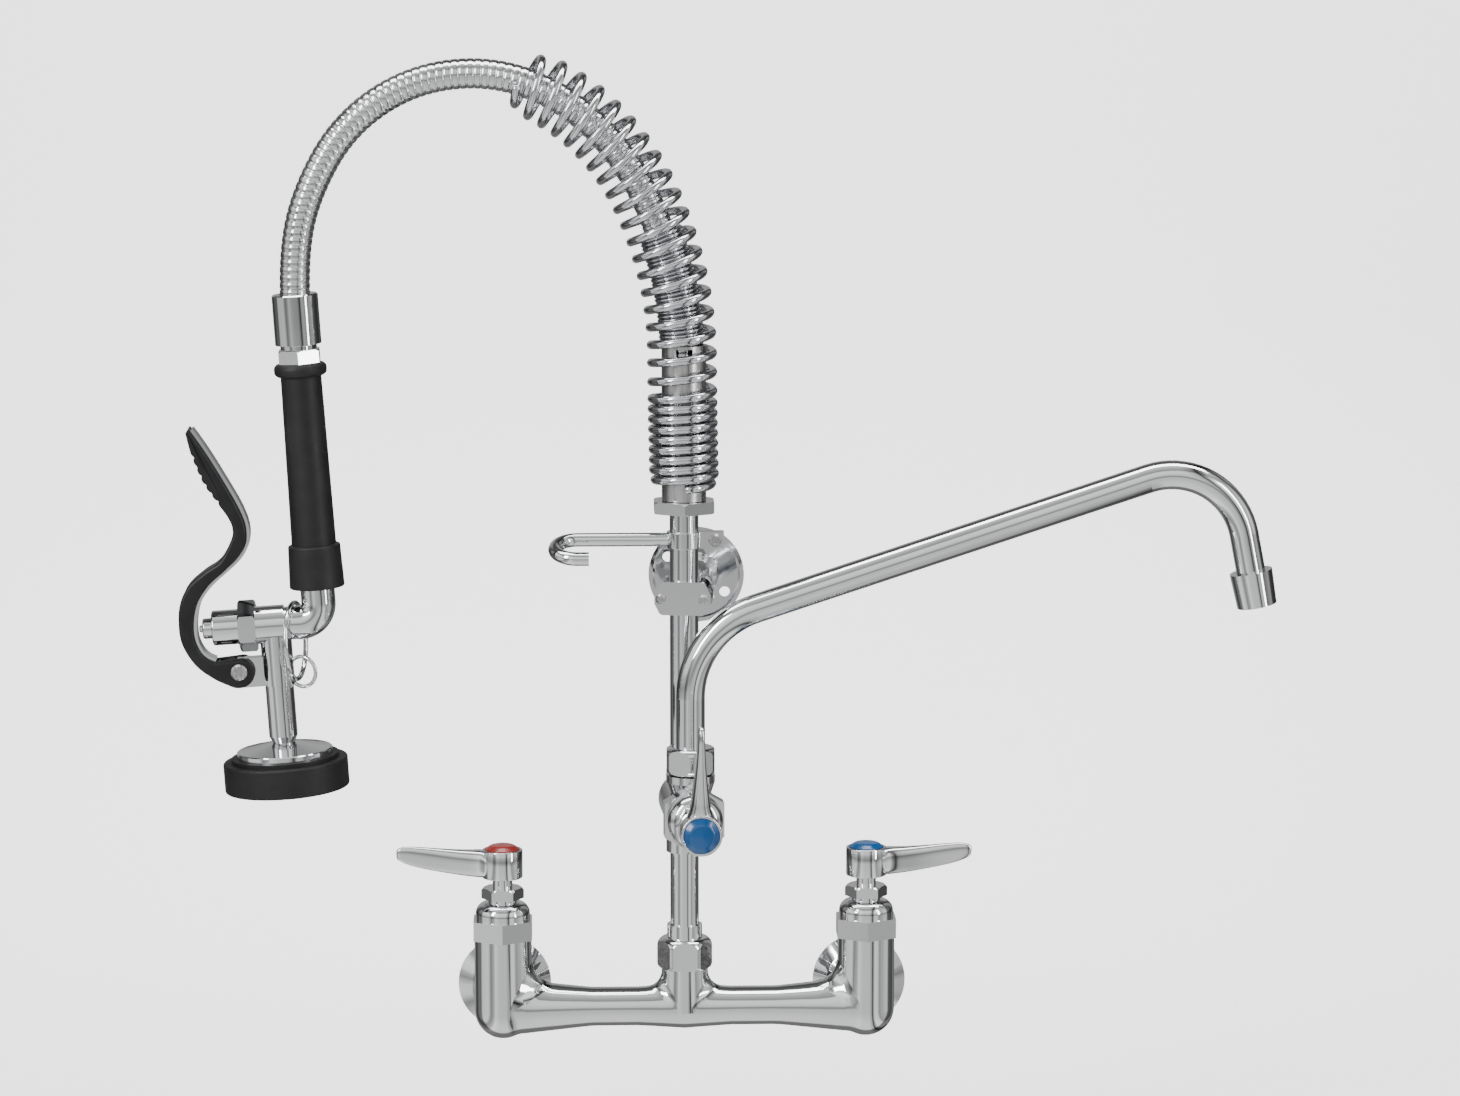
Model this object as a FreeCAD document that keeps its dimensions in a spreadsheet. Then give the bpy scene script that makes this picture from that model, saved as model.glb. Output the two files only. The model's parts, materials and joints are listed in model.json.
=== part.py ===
import FreeCAD, Part
import math
import os
import re

import Sketcher

# Pre-rinse faucet, millimetres.
# Origin: on the wall plane, midway between the two water inlets.
# +X is to the right when facing the wall, +Y runs into the wall, +Z is up.

SIZES = {
    # mixing body
    "inlet_centres": (203.2, "between the two inlets, 8 inches"),
    "wall_depth": (63.5, "valves and riser stand this far out from the wall"),
    "column_across": (32.0, "valve column"),
    "column_top": (41.5, "top face of a valve column, above the inlets"),
    "bar_across": (21.8, "waist of the bar between the valves"),
    "bar_rise": (1.5, "bar axis above the inlet axis"),
    "bar_flare": (34.0, "length over which the bar widens into a column"),
    "bar_shy": (0.4, "the bar's ends stay this far inside the column and the boss"),
    "boss_across": (26.0, "riser boss"),
    "boss_top": (24.0, "shoulder of the riser boss"),
    "boss_neck_across": (21.0, "threaded neck of the riser boss"),
    "boss_neck_tall": (9.0, "threaded neck of the riser boss"),
    "cast_fillet": (9.0, "fillets where the boss meets the bar"),
    "column_fillet": (14.0, "fillets where the bar sweeps up into a valve column"),
    "chamber_across": (23.2, "valve chamber bore"),
    "chamber_floor": (4.0, "seat level of the valve chamber"),
    "seat_across": (10.0, "water way through the seat"),
    "duct_across": (12.0, "water way along the bar"),
    # supply side
    "inlet_across": (27.0, "inlet stub of the mixing body"),
    "inlet_face": (33.0, "face of the inlet stub, in front of the wall"),
    "inlet_socket_deep": (10.0, "socket in the inlet stub"),
    "socket_step": (2.0, "step in a shank's outside and bore at that socket"),
    "shank_across": (25.6, "supply shank"),
    "shank_flats": (26.0, "wrench flats of the supply shank"),
    "shank_collar": (13.0, "length of the shank's hexagon"),
    "supply_bore": (18.6, "half-inch pipe thread, inside"),
    "supply_deep": (15.0, "length of that thread"),
    "flange_across": (53.0, "wall flange"),
    "flange_deep": (9.0, "how far the wall flange stands out"),
    "sheet_thick": (1.2, "spun metal of the wall flanges"),
    "thread_play": (0.05, "radial room between threads, which are drawn plain"),
    "running_play": (0.06, "radial room of a running fit"),
    "loose_play": (0.3, "room between faces of different moving groups"),
    # valve stack, the same for all three valves
    "bonnet_flats": (32.6, "bonnet hexagon"),
    "bonnet_hex": (10.9, "height of that hexagon"),
    "dome_across": (30.4, "bonnet dome"),
    "dome_tall": (9.7, "height of the dome"),
    "dome_round": (6.6, "round of the dome's shoulder"),
    "neck_across": (16.3, "bonnet neck"),
    "neck_tall": (2.1, "height of the neck"),
    "spigot_deep": (12.0, "bonnet thread in the valve chamber"),
    "packing_thread": (14.0, "thread under the packing nut"),
    "packing_flats": (20.6, "packing nut"),
    "packing_tall": (6.1, "packing nut"),
    "packing_grip": (4.0, "thread inside the packing nut"),
    "stem_across": (11.0, "valve stem"),
    "stem_clear": (5.7, "stem seen between packing nut and handle"),
    "broach_across": (8.0, "splined end of the stem in the handle"),
    "broach_tall": (10.0, "splined end of the stem"),
    "disc_across": (18.0, "disc at the foot of the stem"),
    "disc_tall": (3.0, "disc at the foot of the stem"),
    "washer_across": (16.0, "seat washer"),
    "washer_thick": (3.0, "seat washer"),
    "seat_gap": (0.5, "rest gap between the washer and the seat"),
    # lever handles
    "hub_across": (22.6, "handle hub"),
    "hub_tall": (16.0, "handle hub"),
    "handle_reach": (59.0, "stem axis to the tip of the handle"),
    "handle_tip_rise": (2.4, "the tip's top edge stands above the hub's"),
    "handle_waist": (4.6, "thickness of the blade near the tip"),
    "index_across": (19.0, "coloured index cap"),
    "index_seat": (1.4, "depth the cap sits in the hub"),
    "index_dome": (3.0, "height the cap stands above the hub"),
    "screw_head": (7.0, "handle screw head"),
    "screw_shank": (3.6, "handle screw thread"),
    "screw_deep": (7.0, "its thread in the stem"),
    "screw_tall": (2.4, "its head"),
    "driver_across": (2.4, "driver recess in its head"),
    "driver_deep": (1.2, "driver recess in its head"),
    "grip_play": (0.02, "radial room where one part is pressed on another"),
    # riser
    "riser_across": (16.0, "riser tube"),
    "tube_wall": (1.3, "wall of the riser and spout tubes"),
    "riser_foot": (10.0, "foot of the lower riser"),
    "lock_across": (30.8, "riser lock nut over its barrel"),
    "lock_flats": (27.6, "riser lock nut"),
    "lock_tall": (17.5, "barrel of the riser lock nut"),
    "lock_round": (5.0, "round of the barrel"),
    "collar_across": (19.6, "collar of the riser lock nut"),
    "collar_tall": (7.2, "collar of the riser lock nut"),
    # add-on faucet
    "addon_foot": (90.5, "lower end of the add-on faucet body"),
    "addon_yaw": (3.9, "degrees that its valve looks to the right"),
    "addon_barrel": (20.4, "its sleeve on the riser"),
    "addon_axis": (120.5, "height of its valve axis"),
    "addon_barrel_top": (138.0, "upper end of its sleeve"),
    "addon_reach": (49.5, "riser axis to its valve face"),
    "addon_across": (29.0, "its valve barrel"),
    "addon_socket": (12.0, "depth the riser tubes enter it"),
    "spout_offset": (36.0, "riser axis to the spout's pivot axis"),
    "spout_socket": (27.0, "spout socket"),
    "spout_socket_foot": (23.0, "spout socket where it leaves the body"),
    "spout_socket_top": (141.5, "top face of the spout socket"),
    "spout_nut_across": (29.0, "spout nut over its barrel"),
    "spout_nut_flats": (26.2, "spout nut"),
    "spout_nut_tall": (15.5, "spout nut"),
    "spout_nut_round": (4.0, "round of the barrel"),
    # swing spout
    "spout_across": (16.0, "spout tube"),
    "spout_foot": (133.0, "lower end of the spout tube"),
    "spout_bend_height": (221.5, "corner of the first bend"),
    "spout_bend_radius": (52.0, "first bend"),
    "spout_run": (294.0, "sideways from the first corner to the second"),
    "spout_rise": (97.0, "upwards from the first corner to the second"),
    "spout_end_radius": (41.0, "second bend"),
    "spout_drop": (66.0, "second corner down to the aerator"),
    "spout_lean": (13.0, "sideways over that drop"),
    "ring_across": (1.8, "section of an o-ring"),
    "aerator_top": (23.6, "aerator shell, upper end"),
    "aerator_bottom": (21.8, "aerator shell, lower end"),
    "aerator_tall": (19.2, "aerator shell"),
    "aerator_lap": (6.0, "depth the tube enters the aerator"),
    "aerator_mouth": (17.0, "opening of the aerator"),
    # finger hook
    "hook_height": (266.2, "middle of the finger hook's band"),
    "hook_band": (9.2, "height of the band"),
    "band_thick": (1.6, "thickness of the band"),
    "hook_rod": (7.6, "rod of the finger hook"),
    "hook_reach": (75.0, "riser axis to the outside of the hook's turn"),
    "hook_depth": (25.0, "between the two legs of the hook"),
    "hook_dip": (16.0, "degrees that the turn dips towards the front"),
    "hook_tip": (6.0, "straight end after the turn"),
    "lug_reach": (22.0, "riser axis to the end of the band's lug"),
    "lug_thick": (6.0, "thickness of the lug, front to back"),
    "lug_slot": (1.2, "gap that the clamping screw closes"),
    "lug_screw_inset": (5.0, "clamping screw, from the end of the lug"),
    "hook_screw_head": (7.3, "clamping screw of the hook"),
    # wall bracket
    "bracket_height": (234.4, "middle of the clamp on the riser"),
    "bracket_flange_height": (236.5, "middle of the bracket's wall flange"),
    "bracket_shift": (8.4, "the flange stands this far right of the riser"),
    "plate_wide": (31.0, "clamp plate"),
    "plate_tall": (18.5, "clamp plate"),
    "plate_crown": (24.5, "width of its top and bottom edges"),
    "plate_thick": (3.0, "front clamp plate"),
    "back_plate_thick": (6.0, "back clamp plate"),
    "clamp_pinch": (2.0, "the gap between the plates is this much less than the riser"),
    "clamp_screw_at": (11.9, "clamp screws either side of the riser"),
    "clamp_screw_head": (5.6, "clamp screw head"),
    "clamp_screw_shank": (3.4, "clamp screw"),
    "rod_across": (9.5, "bracket rod"),
    "rod_inset": (4.0, "depth the rod enters the back plate"),
    "bracket_flange_across": (54.0, "bracket's wall flange"),
    "bracket_flange_thick": (3.2, "bracket's wall flange"),
    "bracket_hub_across": (22.5, "hub of that flange"),
    "bracket_hub_tall": (9.0, "hub of that flange, from the wall"),
    "bolt_circle": (38.0, "circle of its two screw holes"),
    "bolt_hole": (6.0, "wall screw hole"),
    "bolt_angle": (-32.0, "degrees of the right-hand hole from level"),
    # pan heads of the hook, clamp and lever screws
    "head_edge": (1.4, "straight edge of a pan head"),
    "head_tall": (2.6, "whole pan head"),
    "recess_floor": (1.1, "floor of its cross recess"),
    "recess_long": (0.62, "length of the recess over the head's width"),
    "recess_wide": (0.16, "width of the recess over the head's width"),
    # spring, sleeve and hose
    "riser_top": (304.0, "upper end of the upper riser"),
    "seat_nut_flats": (33.0, "spring seat nut"),
    "seat_nut_low": (281.6, "lower face of the spring seat nut"),
    "seat_nut_tall": (6.6, "spring seat nut"),
    "sleeve_across": (24.6, "sleeve inside the spring"),
    "sleeve_wall": (1.2, "sleeve"),
    "sleeve_top": (374.3, "upper end of the sleeve"),
    "sleeve_bush": (6.0, "height of the bush at its foot, which turns on the riser"),
    "window_wide": (9.0, "window in the sleeve"),
    "window_tall": (4.2, "window in the sleeve"),
    "spring_across": (38.8, "overhead spring, outside"),
    "spring_wire": (4.9, "wire of the overhead spring"),
    "spring_foot": (295.8, "lowest turn of the spring"),
    "tight_pitch": (5.6, "pitch of its closed turns"),
    "open_pitch": (10.46, "pitch of its open turns"),
    "guard_wall": (2.0, "close-wound guard over the hose"),
    "guard_play": (2.15, "room all round between the hose and its guard"),
    "hose_across": (16.7, "armoured hose"),
    "hose_bore": (9.0, "water way of the hose"),
    # spray valve; its own frame stands at the elbow, where the grip and valve axes cross
    "elbow_left": (201.2, "elbow, left of the riser"),
    "elbow_height": (221.7, "elbow"),
    "spray_tilt": (3.6, "degrees that the grip leans to the left"),
    "hose_collar_top": (181.8, "hose collar's mouth above the elbow"),
    "hose_collar_tall": (30.2, "hose collar"),
    "hose_collar_across": (25.4, "hose collar"),
    "collar_socket": (9.0, "depth the hose enters its collar"),
    "spigot_across": (12.0, "spigot of the hose collar in the swivel nut"),
    "swivel_flats": (22.0, "swivel nut"),
    "swivel_tall": (7.6, "swivel nut"),
    "swivel_floor": (3.6, "depth the grip's tube enters it"),
    "grip_top": (144.0, "top of the grip above the elbow"),
    "bead_across": (29.0, "bead at the grip's top"),
    "bead_tall": (7.5, "bead at the grip's top"),
    "grip_upper": (22.4, "grip under the bead"),
    "grip_lower": (24.6, "grip above its cup"),
    "cup_tall": (23.4, "cup at the grip's foot"),
    "cup_upper": (28.8, "cup, upper edge"),
    "cup_lower": (30.4, "cup, lower edge"),
    "grip_foot": (19.2, "foot of the grip above the elbow"),
    "grip_tube": (15.0, "metal tube in the grip"),
    "elbow_across": (19.0, "elbow"),
    "elbow_radius": (10.5, "elbow bend"),
    "valve_across": (21.0, "barrel of the spray valve"),
    "ring_neck": (18.4, "neck that the hold ring hangs on"),
    "ring_neck_from": (9.5, "right end of that neck"),
    "valve_from": (19.6, "right end of the barrel"),
    "valve_to": (37.6, "left end of the barrel"),
    "leg_offset": (25.0, "spray pipe, left of the grip axis"),
    "leg_across": (17.4, "leg of the body"),
    "leg_foot": (33.8, "foot of the leg below the elbow"),
    "leg_thread": (13.0, "thread between the leg and the spray bell"),
    "leg_thread_deep": (9.0, "length of that thread"),
    "valve_nut_flats": (25.2, "nut of the spray valve"),
    "valve_nut_tall": (9.6, "nut of the spray valve"),
    "guide_across": (19.4, "plunger guide"),
    "guide_end": (59.4, "left end of the plunger guide"),
    "valve_bore": (15.0, "bore of the barrel"),
    "plunger_across": (11.4, "plunger"),
    "plunger_head": (13.0, "head of the plunger inside the barrel"),
    "plunger_coil": (11.0, "spring behind the plunger, middle of its wire"),
    "plunger_wire": (1.2, "wire of that spring"),
    "plunger_end": (64.6, "left end of the plunger"),
    "nub_across": (4.0, "nub that the lever pushes"),
    "nub_end": (66.6, "tip of the nub"),
    "pipe_across": (15.8, "spray pipe"),
    "pipe_foot": (62.7, "foot of the spray pipe below the elbow"),
    "dish_across": (53.0, "spray dish rim"),
    "dish_low": (73.6, "lower edge of the rim below the elbow"),
    "rim_tall": (3.3, "rim of the dish"),
    "bumper_lip": (59.5, "upper lip of the bumper"),
    "bumper_across": (69.0, "rubber bumper"),
    "bumper_low": (92.4, "foot of the bumper below the elbow"),
    "bumper_tall": (16.5, "bumper below its lip"),
    "bumper_bore": (52.0, "inside of the bumper"),
    "face_across": (49.0, "spray face"),
    "face_low": (86.0, "spray face below the elbow"),
    "face_thick": (2.5, "spray face"),
    "jet_across": (2.2, "jet hole"),
    # squeeze lever
    "pivot_left": (45.9, "lever pivot, left of the elbow"),
    "pivot_low": (24.0, "lever pivot, below the elbow"),
    "pivot_pin": (4.0, "lever screw's shank"),
    "pivot_head": (9.0, "lever screw's head"),
    "lever_wide": (18.0, "lever, front to back"),
    "fork_gap": (8.8, "gap between the lever's ears"),
    "ear_across": (17.0, "round of an ear about the pivot"),
    "fork_room": (24.0, "round slot between the ears, about the pivot"),
    "strip_wide": (12.0, "bright strip along the lever's inside"),
    "finger_groove": (3.0, "finger groove across the lever's outside"),
    "finger_start": (14.0, "first groove, along the outside from the lever's top"),
    "finger_pitch": (5.6, "from one groove to the next"),
    # hold ring
    "hold_ring_across": (45.0, "ring around the neck"),
    "hold_ring_wire": (2.8, "its wire"),
    "hold_ring_left": (14.2, "ring, left of the grip axis"),
    "link_ring_across": (19.0, "small ring on it"),
    "link_ring_wire": (2.2, "its wire"),
}

# Places and sizes that follow from the driving ones.
PLACES = {
    "valve_x": "inlet_centres / 2",
    "column_r": "column_across / 2",
    "stem_r": "stem_across / 2",
    "stem_bore_r": "stem_across / 2 + running_play",
    "spigot_r": "chamber_across / 2 - thread_play",
    "packing_thread_r": "packing_thread / 2",
    "bonnet_corner_r": "bonnet_flats / 2 / cos(30)",
    "dome_top": "bonnet_hex + dome_tall",
    "bonnet_top": "bonnet_hex + dome_tall + neck_tall",
    "packing_top": "bonnet_top + packing_tall",
    "hub_low": "packing_top + stem_clear",
    "hub_top": "hub_low + hub_tall",
    "broach_top": "hub_low + broach_tall",
    "washer_low": "chamber_floor + seat_gap - column_top",
    "disc_low": "washer_low + washer_thick",
    "disc_top": "disc_low + disc_tall",
    "riser_r": "riser_across / 2",
    "lock_top": "boss_top + lock_tall",
    "addon_riser_foot": "addon_barrel_top - addon_socket",
    "spout_r": "spout_across / 2",
    "spout_nut_top": "spout_socket_top + spout_nut_tall",
    "seat_nut_top": "seat_nut_low + seat_nut_tall",
    "sleeve_low": "seat_nut_top + loose_play",
    "coil_r": "(spring_across - spring_wire) / 2",
    "hose_collar_low": "hose_collar_top - hose_collar_tall",
    "swivel_low": "hose_collar_low - swivel_tall",
    "cup_top": "grip_foot + cup_tall",
    "valve_nut_from": "valve_to - 2.6",
    "valve_nut_to": "valve_to - 2.6 + valve_nut_tall",
    "dish_rim_top": "dish_low - rim_tall",
    "bumper_top": "bumper_low - bumper_tall",
    "hold_ring_low": "hold_ring_across / 2 - hold_ring_wire - ring_neck / 2 - loose_play",
    "guard_across": "hose_across + 2 * guard_wall + 2 * guard_play",
    "plate_gap": "riser_across - clamp_pinch",
    "plate_front": "plate_gap / 2 + plate_thick",
    "plate_back": "plate_gap / 2 + back_plate_thick",
}

LEFT, RIGHT = -1, 1
DOWN = FreeCAD.Vector(0, 0, -1)
UP = FreeCAD.Vector(0, 0, 1)
TO_WALL = FreeCAD.Vector(0, 1, 0)
TO_FRONT = FreeCAD.Vector(0, -1, 0)

doc = FreeCAD.newDocument("pre_rinse_faucet")
nodes = []


# ---------------------------------------------------------------- sizes

def bound(formula):
    """The formula with each size's name given its sheet's name."""
    def owner(word):
        name = word.group(0)
        if name in SIZES:
            return "Sizes." + name
        return "Places." + name if name in PLACES else name
    return re.sub(r"[a-z][a-z_0-9]*", owner, formula)


def fill_sheet(name, cells):
    sheet = doc.addObject("Spreadsheet::Sheet", name)
    for row, (alias, text, note) in enumerate(cells, 1):
        sheet.set(f"A{row}", note)
        sheet.set(f"B{row}", text)
        sheet.setAlias(f"B{row}", alias)
    doc.recompute()
    return sheet


sizes = fill_sheet("Sizes", [(alias, str(size), note) for alias, (size, note) in SIZES.items()])
places = fill_sheet("Places", [(alias, "=" + bound(text), text) for alias, text in PLACES.items()])


def number(formula):
    """The formula's value now, in millimetres or degrees."""
    value = sizes.evalExpression(bound(formula))
    return float(getattr(value, "Value", value))


# ---------------------------------------------------------------- tools

def keep(node, label):
    """Makes an object one of the faucet's pieces."""
    node.Label = label
    nodes.append(node)
    return node


def place(node, at, turn=None):
    """Puts a piece at three formulas, turned by a rotation."""
    base = FreeCAD.Vector(*(number(text) for text in at))
    node.Placement = FreeCAD.Placement(base, turn or FreeCAD.Rotation())
    for axis, text in zip("xyz", at):
        node.setExpression(f".Placement.Base.{axis}", bound(text))
    return node


def plane_of(body, role):
    return next(plane for plane in body.Origin.OriginFeatures if plane.Role == role)


def draw(body, name, plane, corners):
    """A closed outline of straight lines; each corner is two formulas, dimensioned from the origin."""
    sketch = body.newObject("Sketcher::SketchObject", name)
    sketch.AttachmentSupport = [(plane_of(body, plane), "")]
    sketch.MapMode = "FlatFace"
    points = [FreeCAD.Vector(number(x), number(y), 0) for x, y in corners]
    for start, end in zip(points, points[1:] + points[:1]):
        sketch.addGeometry(Part.LineSegment(start, end), False)
    for line in range(len(points)):
        sketch.addConstraint(Sketcher.Constraint("Coincident", line, 2, (line + 1) % len(points), 1))
    for line, (corner, point) in enumerate(zip(corners, points)):
        dimension(sketch, line, "DistanceX", -2, corner[0], point.x)
        dimension(sketch, line, "DistanceY", -1, corner[1], point.y)
    return sketch


def dimension(sketch, line, kind, axis, formula, value):
    if formula == "0":
        sketch.addConstraint(Sketcher.Constraint("PointOnObject", line, 1, axis))
        return
    index = sketch.addConstraint(Sketcher.Constraint(kind, -1, 1, line, 1, value))
    sketch.setExpression(f"Constraints[{index}]", bound(formula))


def turned(name, corners):
    """A piece turned about Z; each corner of its half outline is a radius and a height."""
    body = doc.addObject("PartDesign::Body", name)
    revolution = body.newObject("PartDesign::Revolution", name + "_turned")
    revolution.Profile = draw(body, name + "_outline", "XZ_Plane", corners)
    revolution.ReferenceAxis = (revolution.Profile[0], ["V_Axis"])
    revolution.Angle = 360
    body.Tip = revolution
    doc.recompute()
    return body


def padded(name, plane, corners, thickness, midplane=True):
    """A plate: an outline given a thickness, half to each side of its plane."""
    body = doc.addObject("PartDesign::Body", name)
    pad = body.newObject("PartDesign::Pad", name + "_pad")
    pad.Profile = draw(body, name + "_outline", plane, corners)
    pad.setExpression("Length", bound(thickness))
    pad.Midplane = midplane
    body.Tip = pad
    doc.recompute()
    return body


def rounded(body, radius, *rims):
    """Rounds the circular edges that lie at these radii and heights."""
    wanted = [(number(across), number(height)) for across, height in rims]
    found = []
    for index, edge in enumerate(body.Tip.Shape.Edges, 1):
        curve = edge.Curve
        if isinstance(curve, Part.Circle) and any(
            abs(curve.Radius - r) < 0.01 and abs(curve.Center.z - z) < 0.01 for r, z in wanted
        ):
            found.append(f"Edge{index}")
    return fillet(body, radius, found, len(wanted))


def eased(body, radius, *corners):
    """Rounds the straight edges of a plate that pass through these corners of its outline."""
    found = []
    for index, edge in enumerate(body.Tip.Shape.Edges, 1):
        ends = [vertex.Point for vertex in edge.Vertexes]
        if len(ends) == 2 and any(
            all(math.dist((number(x), number(z)), (end.x, end.z)) < 0.01 for end in ends)
            for x, z in corners
        ):
            found.append(f"Edge{index}")
    return fillet(body, radius, found, len(corners))


def fillet(body, radius, edges, wanted):
    if len(edges) != wanted:
        raise RuntimeError(f"{body.Label}: {len(edges)} edges to round, not {wanted}")
    base = body.Tip
    feature = body.newObject("PartDesign::Fillet", body.Name + "_fillet")
    feature.Base = (base, edges)
    feature.setExpression("Radius", bound(radius))
    body.Tip = feature
    doc.recompute()
    return body


def cylinder(name, across, low, high, at=("0", "0", "0"), turn=None):
    """A plain cylinder along Z between two heights, then placed."""
    solid = doc.addObject("Part::Cylinder", name)
    solid.setExpression("Radius", bound(f"({across}) / 2"))
    solid.setExpression("Height", bound(f"({high}) - ({low})"))
    if turn is None:
        x, y, z = at
        return place(solid, (x, y, f"({z}) + ({low})"))
    shifted = FreeCAD.Placement(FreeCAD.Vector(0, 0, number(low)), FreeCAD.Rotation())
    base = FreeCAD.Placement(FreeCAD.Vector(*(number(text) for text in at)), turn)
    solid.Placement = base.multiply(shifted)
    return solid


def fused(name, *parts):
    whole = doc.addObject("Part::MultiFuse", name)
    whole.Shapes = list(parts)
    doc.recompute()
    return whole


def cut(name, base, *tools):
    tool = tools[0] if len(tools) == 1 else fused(name + "_holes", *tools)
    rest = doc.addObject("Part::Cut", name)
    rest.Base = base
    rest.Tool = tool
    doc.recompute()
    return rest


def hexed(name, blank, flats, low, high, turned_by=0):
    """A turned blank cut down to a hexagon wherever it is wider than the flats."""
    prism = doc.addObject("Part::Prism", name + "_hexagon")
    prism.Polygon = 6
    prism.setExpression("Circumradius", bound(f"({flats}) / 2 / cos(30)"))
    prism.setExpression("Height", bound(f"({high}) - ({low}) + 2"))
    place(prism, ("0", "0", f"({low}) - 1"), FreeCAD.Rotation(UP, turned_by))
    nut = doc.addObject("Part::Common", name)
    nut.Base = blank
    nut.Tool = prism
    doc.recompute()
    return nut


def pair(name, piece):
    """A piece and its mirror image on the other side of the riser, as one group of two solids."""
    mirror = doc.addObject("Part::Mirroring", name + "_mirror")
    mirror.Source = piece
    mirror.Normal = FreeCAD.Vector(1, 0, 0)
    group = doc.addObject("Part::Compound", name)
    group.Links = [piece, mirror]
    doc.recompute()
    return group


def shaped(name, shape):
    """A piece made of one ready shape."""
    piece = doc.addObject("Part::Feature", name)
    piece.Shape = shape
    return piece


def bent_path(points, radii):
    """Straight runs joined by tangent arcs, one radius for each inner point."""
    edges = []
    start = points[0]
    for before, corner, after, radius in zip(points, points[1:], points[2:], radii):
        back, ahead = (before - corner).normalize(), (after - corner).normalize()
        half_turn = (math.pi - back.getAngle(ahead)) / 2
        reach = radius * math.tan(half_turn)
        enter, leave = corner + back * reach, corner + ahead * reach
        inward = (back + ahead).normalize()
        centre_off = radius / math.cos(half_turn)
        middle = corner + inward * (centre_off - radius)
        edges += [Part.LineSegment(start, enter).toShape(), Part.Arc(enter, middle, leave).toShape()]
        start = leave
    edges.append(Part.LineSegment(start, points[-1]).toShape())
    return Part.Wire(edges)


def rod_along(path, across):
    """A round bar along a path."""
    first = path.Edges[0]
    start = first.valueAt(first.FirstParameter)
    profile = Part.Wire([Part.makeCircle(across / 2, start, first.tangentAt(first.FirstParameter))])
    return path.makePipeShell([profile], True, False)


def tube_along(path, across, bore):
    return rod_along(path, across).cut(rod_along(path, bore))


# ---------------------------------------------------------------- mixing body and supplies

def mixing_body():
    """The cast body: a bar that widens into two valve columns, with a boss for the riser."""
    bar = turned("bar", [
        ("0", "-valve_x"), ("column_r - bar_shy", "-valve_x"),
        ("column_r - 3 * bar_shy", "-valve_x + column_r * 0.8"),
        ("bar_across / 2", "-valve_x + column_r + bar_flare"),
        ("bar_across / 2", "-boss_across"), ("boss_across / 2 - bar_shy", "0"),
        ("bar_across / 2", "boss_across"),
        ("bar_across / 2", "valve_x - column_r - bar_flare"),
        ("column_r - 3 * bar_shy", "valve_x - column_r * 0.8"),
        ("column_r - bar_shy", "valve_x"), ("0", "valve_x"),
    ])
    rounded(bar, "bar_flare", ("bar_across / 2", "-valve_x + column_r + bar_flare"),
            ("bar_across / 2", "valve_x - column_r - bar_flare"))
    place(bar, ("0", "0", "bar_rise"), FreeCAD.Rotation(UP, FreeCAD.Vector(1, 0, 0)))
    solids = [bar, cylinder("riser_boss", "boss_across", "0", "boss_top"),
              cylinder("riser_boss_neck", "boss_neck_across", "0", "boss_top + boss_neck_tall")]
    holes = [cylinder("bar_duct", "duct_across", "-valve_x + 8", "valve_x - 8", ("0", "0", "bar_rise"),
                      FreeCAD.Rotation(UP, FreeCAD.Vector(1, 0, 0))),
             cylinder("riser_bore", "riser_across + 2 * running_play", "riser_foot", "boss_top + 20"),
             cylinder("riser_way", "duct_across", "bar_rise", "riser_foot + 1")]
    wallward = FreeCAD.Rotation(UP, TO_WALL)
    for side, name in ((LEFT, "hot"), (RIGHT, "cold")):
        x = f"{side} * valve_x"
        sphere = doc.addObject("Part::Sphere", name + "_column_foot")
        sphere.setExpression("Radius", bound("column_r"))
        solids += [place(sphere, (x, "0", "0")),
                   cylinder(name + "_column", "column_across", "0", "column_top", (x, "0", "0")),
                   cylinder(name + "_stub", "inlet_across", "0", "wall_depth - inlet_face",
                            (x, "0", "0"), wallward)]
        holes += [cylinder(name + "_chamber", "chamber_across", "chamber_floor", "column_top + 1",
                           (x, "0", "0")),
                  cylinder(name + "_seat", "seat_across", "0", "chamber_floor + 1", (x, "0", "0")),
                  cylinder(name + "_inlet_way", "supply_bore - 2 * socket_step", "0",
                           "wall_depth - inlet_face", (x, "0", "0"), wallward),
                  cylinder(name + "_inlet_socket", "shank_across - 2 * socket_step",
                           "wall_depth - inlet_face - inlet_socket_deep",
                           "wall_depth - inlet_face + 1", (x, "0", "0"), wallward)]
    casting = fused("casting", *solids)
    smooth = doc.addObject("Part::Fillet", "smooth_casting")
    smooth.Base = casting
    smooth.Edges = [(index, number(radius), number(radius))
                    for index, radius in casting_joins(casting.Shape)]
    doc.recompute()
    body = cut("manifold", smooth, *holes)
    keep(place(body, ("0", "-wall_depth", "0")), "manifold_body")


def casting_joins(shape):
    """The upper edges where the riser boss and the columns meet the bar, each with its fillet."""
    joins = []
    for index, edge in enumerate(shape.Edges, 1):
        if edge.Degenerated or not isinstance(edge.Curve, Part.BSplineCurve):
            continue
        box = edge.BoundBox
        if box.ZMin > -1 and number("bar_rise") < box.ZMax < number("boss_top - 1"):
            by_column = abs(box.Center.x) > number("valve_x / 2")
            joins.append((index, "column_fillet" if by_column else "cast_fillet"))
    return joins


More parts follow.
